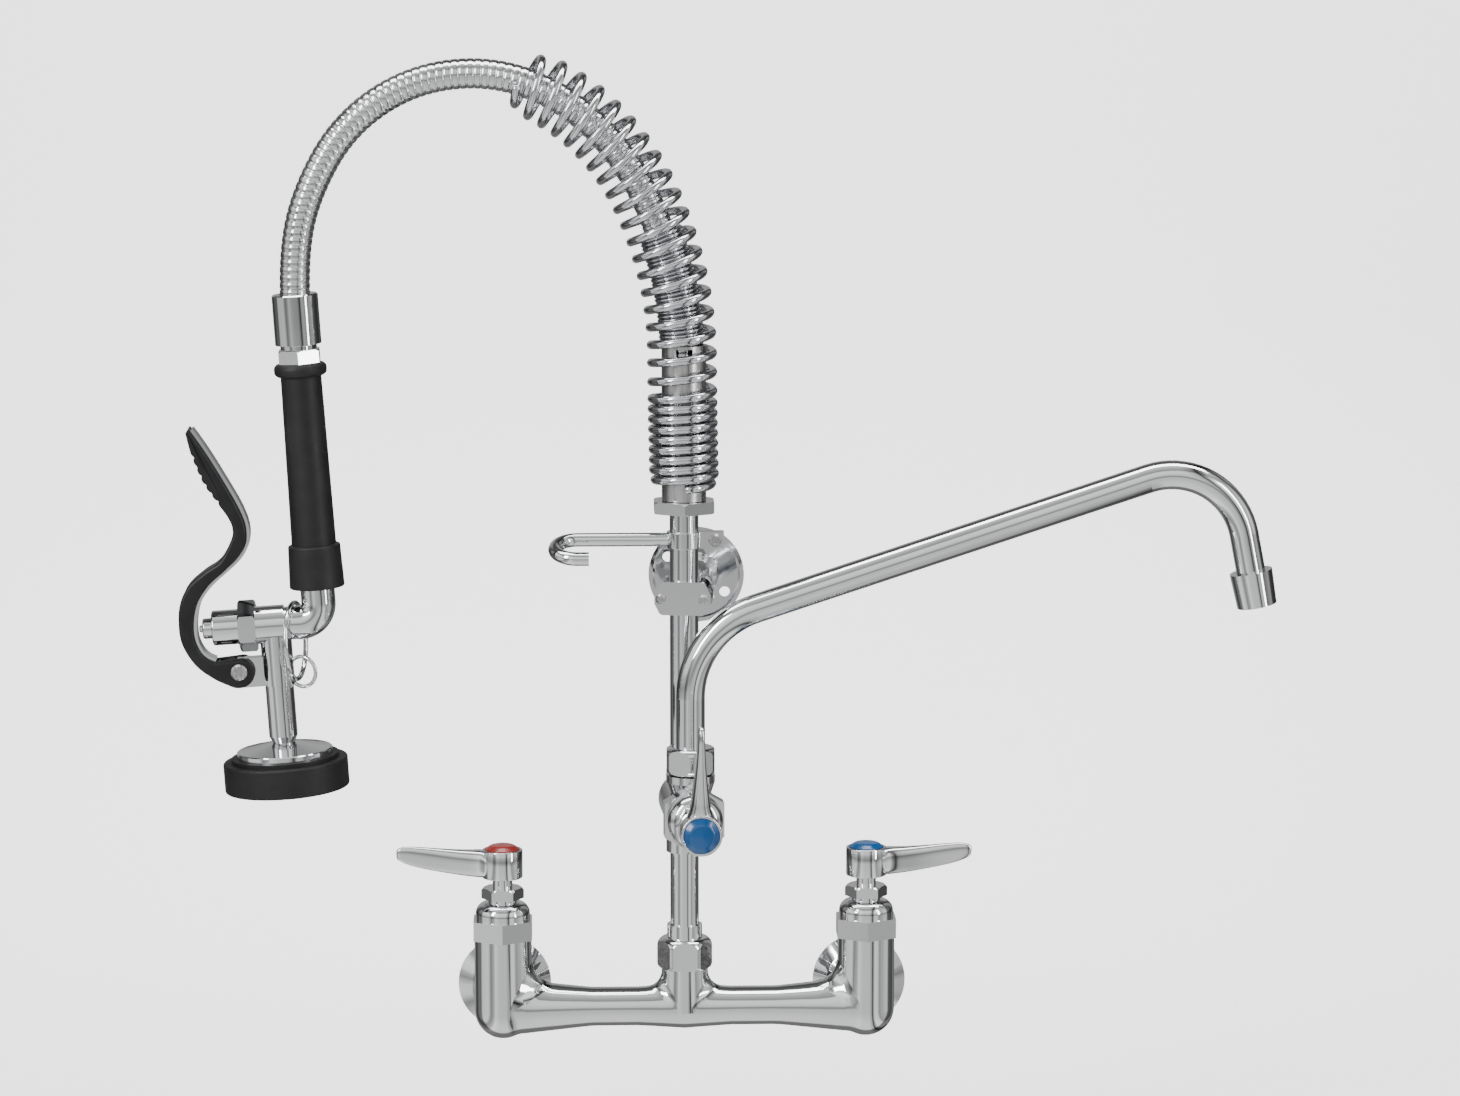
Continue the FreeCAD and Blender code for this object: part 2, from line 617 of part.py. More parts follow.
def supplies():
    """The two supply shanks with their wall flanges. Each is turned with +Z towards the front."""
    shank = turned("shank", [
        ("supply_bore / 2", "0"), ("shank_across / 2", "0"),
        ("shank_across / 2", "inlet_face - shank_collar"),
        ("shank_flats / 2 / cos(30)", "inlet_face - shank_collar"),
        ("shank_flats / 2 / cos(30)", "inlet_face"),
        ("shank_across / 2 - socket_step - thread_play", "inlet_face"),
        ("shank_across / 2 - socket_step - thread_play", "inlet_face + inlet_socket_deep"),
        ("supply_bore / 2 - socket_step", "inlet_face + inlet_socket_deep"),
        ("supply_bore / 2 - socket_step", "supply_deep"), ("supply_bore / 2", "supply_deep"),
    ])
    shank = hexed("supply_shank", shank, "shank_flats", "0", "inlet_face + inlet_socket_deep")
    flange = turned("flange", [
        ("shank_across / 2 + thread_play", "0"), ("flange_across / 2 - sheet_thick", "0"),
        ("flange_across / 2", "sheet_thick / 2"), ("flange_across / 2", "sheet_thick * 1.5"),
        ("shank_across / 2 + 6", "flange_deep * 0.8"),
        ("shank_across / 2 + 2.5", "flange_deep"),
        ("shank_across / 2 + thread_play", "flange_deep"),
    ])
    rounded(flange, "6", ("shank_across / 2 + 6", "flange_deep * 0.8"))
    front = FreeCAD.Rotation(UP, TO_FRONT)
    for piece, label in ((shank, "inlet_shanks"), (flange, "wall_flanges")):
        place(piece, ("valve_x", "0", "0"), front)
        keep(pair(label + "_pair", piece), label)


# ---------------------------------------------------------------- valve stacks

def bonnet(name):
    blank = turned(name + "_blank", [
        ("stem_bore_r", "-spigot_deep"), ("spigot_r", "-spigot_deep"), ("spigot_r", "0"),
        ("bonnet_corner_r", "0"), ("bonnet_corner_r", "bonnet_hex"),
        ("dome_across / 2", "bonnet_hex"), ("dome_across / 2", "dome_top"),
        ("neck_across / 2", "dome_top"), ("neck_across / 2", "bonnet_top"),
        ("packing_thread_r", "bonnet_top"), ("packing_thread_r", "bonnet_top + packing_grip - 0.5"),
        ("stem_bore_r", "bonnet_top + packing_grip - 0.5"),
    ])
    rounded(blank, "dome_round", ("dome_across / 2", "dome_top"))
    return hexed(name, blank, "bonnet_flats", "-spigot_deep", "packing_top", 30)


def packing_nut(name):
    corner = "packing_flats / 2 / cos(30)"
    blank = turned(name + "_blank", [
        ("packing_thread_r + thread_play", "bonnet_top"), (corner, "bonnet_top"),
        (corner, "packing_top - 1.4"), (corner + " - 1.4", "packing_top"),
        ("stem_bore_r", "packing_top"), ("stem_bore_r", "bonnet_top + packing_grip"),
        ("packing_thread_r + thread_play", "bonnet_top + packing_grip"),
    ])
    return hexed(name, blank, "packing_flats", "bonnet_top", "packing_top")


def stem(name):
    return turned(name, [
        ("0", "disc_low"), ("disc_across / 2", "disc_low"), ("disc_across / 2", "disc_top"),
        ("stem_r", "disc_top"), ("stem_r", "hub_low"), ("broach_across / 2", "hub_low"),
        ("broach_across / 2", "broach_top"), ("screw_shank / 2", "broach_top"),
        ("screw_shank / 2", "broach_top - screw_deep"), ("0", "broach_top - screw_deep"),
    ])


def seat_washer(name):
    return turned(name, [
        ("2", "washer_low"), ("washer_across / 2", "washer_low"),
        ("washer_across / 2", "disc_low"), ("2", "disc_low"),
    ])


def handle_screw(name):
    return turned(name, [
        ("0", "broach_top - screw_deep + 0.1"),
        ("screw_shank / 2 - grip_play", "broach_top - screw_deep + 0.1"),
        ("screw_shank / 2 - grip_play", "broach_top"), ("screw_head / 2", "broach_top"),
        ("screw_head / 2", "broach_top + screw_tall"),
        ("driver_across / 2", "broach_top + screw_tall"),
        ("driver_across / 2", "broach_top + driver_deep"), ("0", "broach_top + driver_deep"),
    ])


def index_cap(name):
    seat = "hub_top - index_seat"
    cap = turned(name, [
        ("0", seat), ("index_across / 2", seat), ("index_across / 2", "hub_top + 0.4"),
        ("index_across / 2 - 3", "hub_top + index_dome * 0.8"),
        ("0", "hub_top + index_dome"),
    ])
    return rounded(cap, "4", ("index_across / 2 - 3", "hub_top + index_dome * 0.8"))


def lever_handle(name):
    """A hub with a blade that points along +X: its side view is cut to its plan view."""
    hub = turned(name + "_hub", [
        ("broach_across / 2 + grip_play", "hub_low"), ("hub_across / 2", "hub_low"),
        ("hub_across / 2", "hub_top"), ("index_across / 2 + thread_play", "hub_top"),
        ("index_across / 2 + thread_play", "hub_top - index_seat"),
        ("screw_head / 2 + loose_play", "hub_top - index_seat"),
        ("screw_head / 2 + loose_play", "broach_top"), ("broach_across / 2 + grip_play", "broach_top"),
    ])
    rounded(hub, "0.8", ("hub_across / 2", "hub_low"), ("hub_across / 2", "hub_top"))
    side = padded(name + "_side", "XZ_Plane", [
        ("hub_across / 2 - 1.5", "hub_low + 0.3"), ("handle_reach - 26", "hub_low + 2.4"),
        ("handle_reach - 6", "hub_low + 5.6"), ("handle_reach", "hub_low + 9"),
        ("handle_reach", "hub_top - 3"), ("handle_reach - 5", "hub_top + handle_tip_rise"),
        ("handle_reach - 18", "hub_top + handle_tip_rise"), ("hub_across / 2 - 1.5", "hub_top - 0.3"),
    ], "hub_across")
    eased(side, "3", ("handle_reach", "hub_low + 9"), ("handle_reach", "hub_top - 3"),
          ("handle_reach - 5", "hub_top + handle_tip_rise"))
    plan = doc.addObject("PartDesign::Body", name + "_plan")
    pad = plan.newObject("PartDesign::Pad", name + "_plan_pad")
    half = [("hub_across / 2 - 1.6", "hub_across / 2 - 3.4"),
            ("hub_across / 2 + 6", "hub_across / 2 - 5.6"),
            ("handle_reach - 30", "handle_waist / 2 + 1"), ("handle_reach - 14", "handle_waist / 2"),
            ("handle_reach - 1", "handle_waist / 2"), ("handle_reach + 1", "handle_waist / 2 - 1.5")]
    other = [(x, f"-({y})") for x, y in reversed(half)]
    pad.Profile = draw(plan, name + "_plan_outline", "XY_Plane", half + other)
    pad.setExpression("Length", bound("hub_top + 10"))
    plan.Tip = pad
    blade = doc.addObject("Part::Common", name + "_blade")
    blade.Base = side
    blade.Tool = plan
    return fused(name, hub, blade)


def valve_group(prefix, at, upright, swing):
    """The pieces that turn with one handle. upright turns the stack's +Z, swing its blade."""
    pose = upright.multiply(FreeCAD.Rotation(UP, swing))
    for make, label in ((stem, "stem"), (seat_washer, "seat_washer"), (handle_screw, "handle_screw"),
                        (index_cap, "index"), (lever_handle, "handle")):
        name = f"{prefix}_{label}"
        keep(place(make(name + "_part"), at, pose), name)


def valves():
    upright = FreeCAD.Rotation()
    for prefix, side, swing in (("hot", LEFT, 180), ("cold", RIGHT, 0)):
        at = (f"{side} * valve_x", "-wall_depth", "column_top")
        keep(place(bonnet(prefix + "_bonnet_part"), at), prefix + "_bonnet")
        valve_group(prefix, at, upright, swing)
    nut = place(packing_nut("main_packing_nut"), ("valve_x", "-wall_depth", "column_top"))
    keep(pair("packing_nut_pair", nut), "packing_nuts")


# ---------------------------------------------------------------- riser and add-on faucet

def riser():
    nut = turned("lock_nut_blank", [
        ("boss_neck_across / 2 + thread_play", "boss_top"), ("lock_across / 2", "boss_top"),
        ("lock_across / 2", "lock_top"), ("collar_across / 2", "lock_top"),
        ("collar_across / 2", "lock_top + collar_tall"),
        ("riser_r + running_play", "lock_top + collar_tall"),
        ("riser_r + running_play", "boss_top + boss_neck_tall + 0.3"),
        ("boss_neck_across / 2 + thread_play", "boss_top + boss_neck_tall + 0.3"),
    ])
    rounded(nut, "lock_round", ("lock_across / 2", "lock_top"))
    rounded(nut, "2.5", ("lock_across / 2", "boss_top"))
    nut = hexed("lock_nut", nut, "lock_flats", "boss_top", "lock_top + collar_tall")
    keep(place(nut, ("0", "-wall_depth", "0")), "riser_lock_nut")
    for label, low, high in (("lower_riser", "riser_foot + 0.2", "addon_foot + addon_socket"),
                             ("upper_riser", "addon_riser_foot", "riser_top")):
        tube = turned(label + "_tube", [
            ("riser_r - tube_wall", low), ("riser_r", low), ("riser_r", high),
            ("riser_r - tube_wall", high),
        ])
        keep(place(tube, ("0", "-wall_depth", "0")), label)


RING_HEIGHTS = ("spout_socket_top - 6.5", "spout_socket_top - 2.6")


def addon_turn():
    return FreeCAD.Rotation(UP, number("addon_yaw"))


def addon_spot(out, height):
    """Formulas for a place this far out in front of the riser, along the add-on faucet's own line."""
    return (f"({out}) * sin(addon_yaw)", f"-wall_depth - ({out}) * cos(addon_yaw)", height)


def addon_body():
    """Sleeve on the riser, valve barrel towards the front, spout socket on top. Front is -Y here."""
    front = FreeCAD.Rotation(UP, TO_FRONT)
    sleeve = turned("addon_sleeve", [
        ("0", "addon_foot"), ("addon_barrel / 2", "addon_foot"),
        ("addon_barrel / 2", "addon_barrel_top"), ("0", "addon_barrel_top"),
    ])
    rounded(sleeve, "1.5", ("addon_barrel / 2", "addon_barrel_top"))
    barrel = cylinder("addon_valve_barrel", "addon_across", "0", "addon_reach",
                      ("0", "0", "addon_axis"), front)
    back = doc.addObject("Part::Sphere", "addon_barrel_back")
    back.setExpression("Radius", bound("addon_across / 2"))
    place(back, ("0", "0", "addon_axis"))
    socket = turned("addon_spout_socket", [
        ("0", "addon_axis"), ("spout_socket_foot / 2", "addon_axis"),
        ("spout_socket_foot / 2", "addon_axis + 11"), ("spout_socket / 2", "spout_socket_top - 4"),
        ("spout_socket / 2", "spout_socket_top"), ("0", "spout_socket_top"),
    ])
    place(socket, ("0", "-spout_offset", "0"))
    solid = fused("addon_casting", sleeve, barrel, back, socket)
    holes = [
        cylinder("addon_foot_bore", "riser_across + 2 * running_play", "addon_foot - 1",
                 "addon_foot + addon_socket"),
        cylinder("addon_top_bore", "riser_across + 2 * running_play", "addon_riser_foot",
                 "addon_barrel_top + 1"),
        cylinder("addon_through", "duct_across", "addon_foot", "addon_barrel_top"),
        cylinder("addon_chamber", "chamber_across", "addon_reach - column_top + chamber_floor",
                 "addon_reach + 1", ("0", "0", "addon_axis"), front),
        cylinder("addon_seat", "seat_across", "0", "addon_reach", ("0", "0", "addon_axis"), front),
        cylinder("addon_spout_bore", "spout_across + 2 * running_play", "spout_foot - 0.2",
                 "spout_socket_top + 1", ("0", "-spout_offset", "0")),
        cylinder("addon_spout_way", "6", "addon_axis + 6", "spout_foot", ("0", "-spout_offset + 4", "0")),
    ]
    for index, height in enumerate(RING_HEIGHTS):
        groove = "spout_across + 2 * ring_across + 4 * running_play"
        holes.append(cylinder(f"ring_groove_{index}", groove, f"{height} - ring_across / 2 - 0.1",
                              f"{height} + ring_across / 2 + 0.1", ("0", "-spout_offset", "0")))
    body = cut("addon_faucet", solid, *holes)
    keep(place(body, ("0", "-wall_depth", "0"), addon_turn()), "addon_body")


def addon_faucet():
    addon_body()
    front = addon_turn().multiply(FreeCAD.Rotation(UP, TO_FRONT))
    at = addon_spot("addon_reach", "addon_axis")
    keep(place(bonnet("addon_bonnet_part"), at, front), "addon_bonnet")
    keep(place(packing_nut("addon_packing_part"), at, front), "addon_packing_nut")
    blade_up = front.inverted().multVec(UP)
    swing = math.degrees(math.atan2(blade_up.y, blade_up.x))
    valve_group("addon", at, front, swing)
    nut = turned("spout_nut_blank", [
        ("spout_r + running_play", "spout_socket_top"), ("spout_nut_across / 2", "spout_socket_top"),
        ("spout_nut_across / 2", "spout_nut_top"), ("spout_r + running_play", "spout_nut_top"),
    ])
    rounded(nut, "spout_nut_round", ("spout_nut_across / 2", "spout_socket_top"),
            ("spout_nut_across / 2", "spout_nut_top"))
    nut = hexed("spout_nut_part", nut, "spout_nut_flats", "spout_socket_top", "spout_nut_top", 30)
    keep(place(nut, addon_spot("spout_offset", "0")), "spout_nut")


# ---------------------------------------------------------------- swing spout

def spout():
    """The spout's tube lies in the plane of the pivot axis; its open end leans outwards."""
    x, y, _ = (number(text) for text in addon_spot("spout_offset", "0"))
    foot, bend = number("spout_foot"), number("spout_bend_height")
    run, rise = number("spout_run"), number("spout_rise")
    drop, lean = number("spout_drop"), number("spout_lean")
    lap = number("aerator_lap")
    down = FreeCAD.Vector(lean, 0, -drop).normalize()
    corner = FreeCAD.Vector(run, 0, bend + rise)
    mouth = corner + FreeCAD.Vector(lean, 0, -drop)
    points = [FreeCAD.Vector(0, 0, foot), FreeCAD.Vector(0, 0, bend), corner, mouth + down * lap]
    path = bent_path(points, [number("spout_bend_radius"), number("spout_end_radius")])
    across = number("spout_across")
    tube = tube_along(path, across, across - 2 * number("tube_wall"))
    base = FreeCAD.Placement(FreeCAD.Vector(x, y, 0), FreeCAD.Rotation())
    for piece, label, shape_base in (
        (shaped("spout_tube_part", tube), "spout_tube", base),
        (aerator_shell(), "aerator_shell", None), (aerator_insert(), "aerator_insert", None),
    ):
        end = FreeCAD.Placement(mouth + FreeCAD.Vector(x, y, 0), FreeCAD.Rotation(DOWN, down))
        piece.Placement = shape_base or end
        keep(piece, label)
    rings = [o_ring(f"spout_ring_{index}", height) for index, height in enumerate(RING_HEIGHTS)]
    group = doc.addObject("Part::Compound", "spout_ring_pair")
    group.Links = rings
    keep(place(group, addon_spot("spout_offset", "0")), "spout_orings")


def o_ring(name, height):
    ring = doc.addObject("Part::Torus", name)
    ring.setExpression("Radius1", bound("spout_r + running_play + ring_across / 2"))
    ring.setExpression("Radius2", bound("ring_across / 2"))
    return place(ring, ("0", "0", height))


def aerator_shell():
    """Threaded shell on the spout's end; its mouth is towards -Z and z = 0 is its top face."""
    return turned("aerator_shell_part", [
        ("spout_r + thread_play", "0"), ("aerator_top / 2", "0"), ("aerator_bottom / 2", "-aerator_tall"),
        ("aerator_mouth / 2", "-aerator_tall"), ("aerator_mouth / 2", "-aerator_lap - 1"),
        ("spout_r + thread_play", "-aerator_lap - 1"),
    ])


def aerator_insert():
    return turned("aerator_insert_part", [
        ("1.5", "-aerator_lap - 2"), ("aerator_mouth / 2 - 0.05", "-aerator_lap - 2"),
        ("aerator_mouth / 2 - 0.05", "-aerator_tall + 1.2"), ("1.5", "-aerator_tall + 1.2"),
    ])


# ---------------------------------------------------------------- finger hook

def finger_hook():
    """A clamp band on the riser with a rod that runs left and turns back on itself."""
    band = turned("hook_band_ring", [
        ("riser_r + thread_play", "-hook_band / 2"), ("riser_r + band_thick", "-hook_band / 2"),
        ("riser_r + band_thick", "hook_band / 2"), ("riser_r + thread_play", "hook_band / 2"),
    ])
    rounded(band, "0.4", ("riser_r + band_thick", "-hook_band / 2"),
            ("riser_r + band_thick", "hook_band / 2"))
    lug = doc.addObject("Part::Box", "hook_lug")
    lug.setExpression("Length", bound("lug_reach - riser_r - band_thick / 2"))
    lug.setExpression("Width", bound("lug_thick"))
    lug.setExpression("Height", bound("hook_band"))
    place(lug, ("riser_r + band_thick / 2", "-lug_thick / 2", "-hook_band / 2"))
    rod_r = number("hook_rod") / 2
    far = number("hook_reach") - rod_r
    half = number("hook_depth") / 2
    dip = math.radians(number("hook_dip"))
    across = FreeCAD.Vector(0, -math.cos(dip), -math.sin(dip))
    start = FreeCAD.Vector(-number("riser_r + band_thick / 2"), 0, 0)
    turn_in = FreeCAD.Vector(half - far, 0, 0)
    turn_mid = FreeCAD.Vector(-far, 0, 0) + across * half
    turn_out = turn_in + across * (2 * half)
    tip = turn_out + FreeCAD.Vector(number("hook_tip"), 0, 0)
    path = Part.Wire([Part.LineSegment(start, turn_in).toShape(),
                      Part.Arc(turn_in, turn_mid, turn_out).toShape(),
                      Part.LineSegment(turn_out, tip).toShape()])
    rod = shaped("hook_rod_part", rod_along(path, number("hook_rod")))
    screw_way = cylinder("hook_screw_way", "hook_screw_head / 2", "-lug_thick", "lug_thick",
                         ("lug_reach - lug_screw_inset", "0", "0"), FreeCAD.Rotation(UP, TO_FRONT))
    slot = doc.addObject("Part::Box", "hook_lug_slot")
    slot.setExpression("Length", bound("lug_reach"))
    slot.setExpression("Width", bound("lug_slot"))
    slot.setExpression("Height", bound("hook_band * 2"))
    place(slot, ("riser_r", "-lug_slot / 2", "-hook_band"))
    riser_way = cylinder("hook_riser_way", "riser_across + 2 * thread_play", "-hook_band", "hook_band")
    hook = cut("hook_part", fused("hook_solid", band, lug, rod), screw_way, slot, riser_way)
    keep(place(hook, ("0", "-wall_depth", "hook_height")), "finger_hook")
    screw = cross_screw("hook_screw_part", "hook_screw_head", "hook_screw_head / 2 - 0.1",
                        "lug_thick + 3")
    place(screw, ("lug_reach - lug_screw_inset", "-wall_depth - lug_thick / 2", "hook_height"),
          FreeCAD.Rotation(UP, TO_FRONT))
    keep(screw, "hook_screw")


def cross_screw(name, head, shank, length):
    """A pan-head screw with a cross recess; the head stands on z = 0 and the shank points down."""
    blank = turned(name + "_blank", [
        ("0", f"-({length})"), (f"({shank}) / 2", f"-({length})"), (f"({shank}) / 2", "0"),
        (f"({head}) / 2", "0"), (f"({head}) / 2", "head_edge"),
        (f"({head}) / 2 - 1", "head_tall - 0.2"), ("0", "head_tall"),
    ])
    slots = []
    for index in range(2):
        slot = doc.addObject("Part::Box", f"{name}_slot_{index}")
        slot.setExpression("Length", bound(f"({head}) * recess_long"))
        slot.setExpression("Width", bound(f"({head}) * recess_wide"))
        slot.setExpression("Height", bound("head_tall"))
        turn = FreeCAD.Rotation(UP, 45 + 90 * index)
        corner = FreeCAD.Vector(-number(f"({head}) * recess_long / 2"),
                                -number(f"({head}) * recess_wide / 2"), number("recess_floor"))
        slot.Placement = FreeCAD.Placement(turn.multVec(corner), turn)
        slots.append(slot)
    return cut(name, blank, *slots)


# ---------------------------------------------------------------- wall bracket

def bracket_turn():
    """The bracket's own line, from the riser to its flange, which stands to the right."""
    return FreeCAD.Rotation(UP, -math.degrees(math.atan2(number("bracket_shift"), number("wall_depth"))))


def clamp_outline():
    crown, side = "plate_crown / 2", "plate_wide / 2"
    top, shoulder = "plate_tall / 2", "plate_tall * 0.16"
    return [(f"-({crown})", f"-({top})"), (crown, f"-({top})"), (side, f"-({shoulder})"), (side, shoulder),
            (crown, top), (f"-({crown})", top), (f"-({side})", shoulder), (f"-({side})", f"-({shoulder})")]


def clamp_plate(name, thickness, middle, screw_hole):
    """A plate with a saddle for the riser; middle is how far behind the riser axis it stands."""
    plate = padded(name + "_blank", "XZ_Plane", clamp_outline(), thickness)
    crown, side, top, shoulder = "plate_crown / 2", "plate_wide / 2", "plate_tall / 2", "plate_tall * 0.16"
    eased(plate, "3", *[(f"{sx} * {x}", f"{sz} * {z}") for sx in (1, -1) for sz in (1, -1)
                        for x, z in ((crown, top), (side, shoulder))])
    place(plate, ("0", middle, "0"))
    back = FreeCAD.Rotation(UP, TO_WALL)
    tools = [cylinder(name + "_saddle", "riser_across + 2 * thread_play", "-plate_tall", "plate_tall")]
    for side_sign in (LEFT, RIGHT):
        tools.append(cylinder(f"{name}_screw_way_{side_sign + 1}", screw_hole, "-plate_gap * 2",
                              "plate_gap * 2", (f"{side_sign} * clamp_screw_at", "0", "0"), back))
    if middle[0] != "-":
        tools.append(cylinder(name + "_rod_way", "rod_across + 2 * thread_play",
                              "plate_back - rod_inset", "plate_back + 1",
                              turn=FreeCAD.Rotation(UP, rod_line())))
    return cut(name, plate, *tools)


def rod_line():
    """The rod's direction before the bracket is turned: to the wall and a little upwards."""
    run = math.hypot(number("bracket_shift"), number("wall_depth"))
    return FreeCAD.Vector(0, run, number("bracket_flange_height - bracket_height")).normalize()


def bracket():
    turn = bracket_turn()
    at = ("0", "-wall_depth", "bracket_height")
    front = clamp_plate("clamp_front", "plate_thick", "-plate_gap / 2 - plate_thick / 2",
                        "clamp_screw_shank + 0.4")
    back = clamp_plate("clamp_back", "back_plate_thick", "plate_gap / 2 + back_plate_thick / 2",
                       "clamp_screw_shank + 0.1")
    keep(place(front, at, turn), "clamp_front_plate")
    keep(place(back, at, turn), "clamp_back_plate")
    screws = []
    for index, side in enumerate((LEFT, RIGHT)):
        screw = cross_screw(f"clamp_screw_{index}", "clamp_screw_head", "clamp_screw_shank",
                            "plate_front + plate_back - 0.5")
        screws.append(place(screw, (f"{side} * clamp_screw_at", "-plate_front", "0"),
                            FreeCAD.Rotation(UP, TO_FRONT)))
    group = doc.addObject("Part::Compound", "clamp_screw_pair")
    group.Links = screws
    keep(place(group, at, turn), "clamp_screws")
    along = FreeCAD.Rotation(UP, turn.multVec(rod_line()))
    rod = turned("bracket_rod_part", [
        ("0", "plate_back - rod_inset + 0.1"), ("rod_across / 2", "plate_back - rod_inset + 0.1"),
        ("rod_across / 2", "wall_depth - bracket_flange_thick"), ("0", "wall_depth - bracket_flange_thick"),
    ])
    keep(place(rod, at, along), "bracket_rod")
    bracket_flange(along)


def bracket_flange(along):
    """A round foot, flush with the wall; its hub is bored along the rod's line."""
    front = FreeCAD.Rotation(UP, TO_FRONT)
    foot = turned("bracket_foot", [
        ("0", "0"), ("bracket_flange_across / 2", "0"),
        ("bracket_flange_across / 2", "bracket_flange_thick"),
        ("bracket_flange_across / 2 - 2.2", "bracket_flange_thick"),
        ("bracket_flange_across / 2 - 3.4", "bracket_flange_thick - 1"),
        ("bracket_hub_across / 2 + 1.5", "bracket_flange_thick - 1"),
        ("bracket_hub_across / 2", "bracket_flange_thick + 0.5"),
        ("bracket_hub_across / 2", "bracket_hub_tall - 2"),
        ("bracket_hub_across / 2 - 2", "bracket_hub_tall"), ("0", "bracket_hub_tall"),
    ])
    centre = ("bracket_shift", "0", "bracket_flange_height")
    place(foot, centre, front)
    tools = [cylinder("rod_thread", "rod_across + 2 * thread_play", "plate_back", "wall_depth - 3",
                      ("0", "-wall_depth", "bracket_height"), along)]
    for index, half_circle in enumerate((0, 180)):
        angle = f"(bolt_angle + {half_circle})"
        spot = (f"bracket_shift + bolt_circle / 2 * cos{angle}", "0",
                f"bracket_flange_height + bolt_circle / 2 * sin{angle}")
        tools.append(cylinder(f"wall_screw_hole_{index}", "bolt_hole", "-1",
                              "bracket_flange_thick + 1", spot, front))
    keep(cut("bracket_flange_part", foot, *tools), "bracket_flange")


# ---------------------------------------------------------------- spring, sleeve and hose

# The hose's route in the plane of the riser: distance to the left of its axis, and height.
# The guard ends a fifth of the way along the route's fourth run.
HOSE_ROUTE = ((0.0, 304.5), (0.9, 345.0), (1.0, 389.0), (10.0, 431.0), (28.5, 473.0), (60.0, 507.0),
              (101.0, 524.5), (146.0, 520.5), (184.0, 496.0), (206.5, 456.0), (213.2, 420.0),
              (212.1, 394.5))
GUARD_END = 0.2
HOSE_TURN_SHARE = 0.45


def route(points):
    y = -number("wall_depth")
    return [FreeCAD.Vector(-left, y, height) for left, height in points]


def route_radii(points):
    """Each bend is as large as its two runs allow."""
    radii = []
    for before, corner, after in zip(points, points[1:], points[2:]):
        half_turn = (corner - before).getAngle(after - corner) / 2
        radii.append(HOSE_TURN_SHARE * min((corner - before).Length, (after - corner).Length)
                     / math.tan(half_turn))
    return radii


def hose_path():
    points = route(HOSE_ROUTE)
    return bent_path(points, route_radii(points))


def path_spot(path, distance):
    """The point and direction at a distance along a path of lines and arcs."""
    edges = path.Edges
    while len(edges) > 1 and distance > edges[0].Length:
        distance -= edges.pop(0).Length
    parameter = edges[0].getParameterByLength(min(distance, edges[0].Length))
    return edges[0].valueAt(parameter), edges[0].tangentAt(parameter)


TIGHT_TURNS = 9
OPEN_TURNS = 20


def spring_stations():
    """How far along the hose each turn of the spring stands: closed turns, then open ones."""
    along = number("spring_foot") - HOSE_ROUTE[0][1]
    stations = []
    for turn in range(TIGHT_TURNS + OPEN_TURNS):
        stations.append(along)
        along += number("tight_pitch" if turn < TIGHT_TURNS else "open_pitch")
    return stations


def spring_parts():
    path = hose_path()
    radius, wire = number("coil_r"), number("spring_wire") / 2
    turns = []
    for station in spring_stations():
        spot, heading = path_spot(path, max(station, 0))
        spot = spot + heading * min(station, 0)
        turns.append(Part.makeTorus(radius, wire, spot, heading))
    keep(shaped("spring_turns", Part.makeCompound(turns)), "overhead_spring")
    sleeve = turned("sleeve_tube", [
        ("riser_r + running_play", "sleeve_low"), ("sleeve_across / 2", "sleeve_low"),
        ("sleeve_across / 2", "sleeve_top"), ("sleeve_across / 2 - sleeve_wall", "sleeve_top"),
        ("sleeve_across / 2 - sleeve_wall", "sleeve_low + sleeve_bush"),
        ("riser_r + running_play", "sleeve_low + sleeve_bush"),
    ])
    window = doc.addObject("Part::Box", "sleeve_window")
    window.setExpression("Length", bound("window_wide"))
    window.setExpression("Width", bound("sleeve_across"))
    window.setExpression("Height", bound("window_tall"))
    place(window, ("-window_wide / 2", "-sleeve_across", "sleeve_top - window_tall - 1.6"))
    sleeve = cut("sleeve_part", sleeve, window)
    keep(place(sleeve, ("0", "-wall_depth", "0")), "spring_sleeve")
    straight_left = HOSE_ROUTE[2][0]
    guard_points = route(((straight_left, number("sleeve_top + 1")),) + HOSE_ROUTE[2:5])
    guard_points[-1] = guard_points[-2] + (guard_points[-1] - guard_points[-2]) * GUARD_END
    guard_path = bent_path(guard_points, route_radii(guard_points))
    across = number("guard_across")
    keep(shaped("guard_tube", tube_along(guard_path, across, across - 2 * number("guard_wall"))),
         "guard_spring")
    nut = turned("seat_nut_blank", [
        ("riser_r + thread_play", "seat_nut_low"), ("seat_nut_flats / 2 / cos(30) - 1.2", "seat_nut_low"),
        ("seat_nut_flats / 2 / cos(30)", "seat_nut_low + 1.2"),
        ("seat_nut_flats / 2 / cos(30)", "seat_nut_top - 1.2"),
        ("seat_nut_flats / 2 / cos(30) - 1.2", "seat_nut_top"), ("riser_r + thread_play", "seat_nut_top"),
    ])
    nut = hexed("seat_nut_part", nut, "seat_nut_flats", "seat_nut_low", "seat_nut_top", 30)
    keep(place(nut, ("0", "-wall_depth", "0")), "spring_seat_nut")


def hose():
    path = hose_path()
    across, bore = number("hose_across"), number("hose_bore")
    tube = tube_along(path, across, bore)
    section = math.pi / 4 * (across ** 2 - bore ** 2)
    print("hose length", round(path.Length, 1), "volume / (section x length)",
          round(tube.Volume / (section * path.Length), 4))
    print("hose bend radii", [round(radius) for radius in route_radii(route(HOSE_ROUTE))])
    keep(shaped("hose_tube", tube), "hose")


# ---------------------------------------------------------------- spray valve

def spray_turn(turn=None):
    """Rotations of the spray valve's frame, which leans with the grip."""
    lean = FreeCAD.Rotation(TO_WALL, -number("spray_tilt"))
    return lean.multiply(turn) if turn else lean


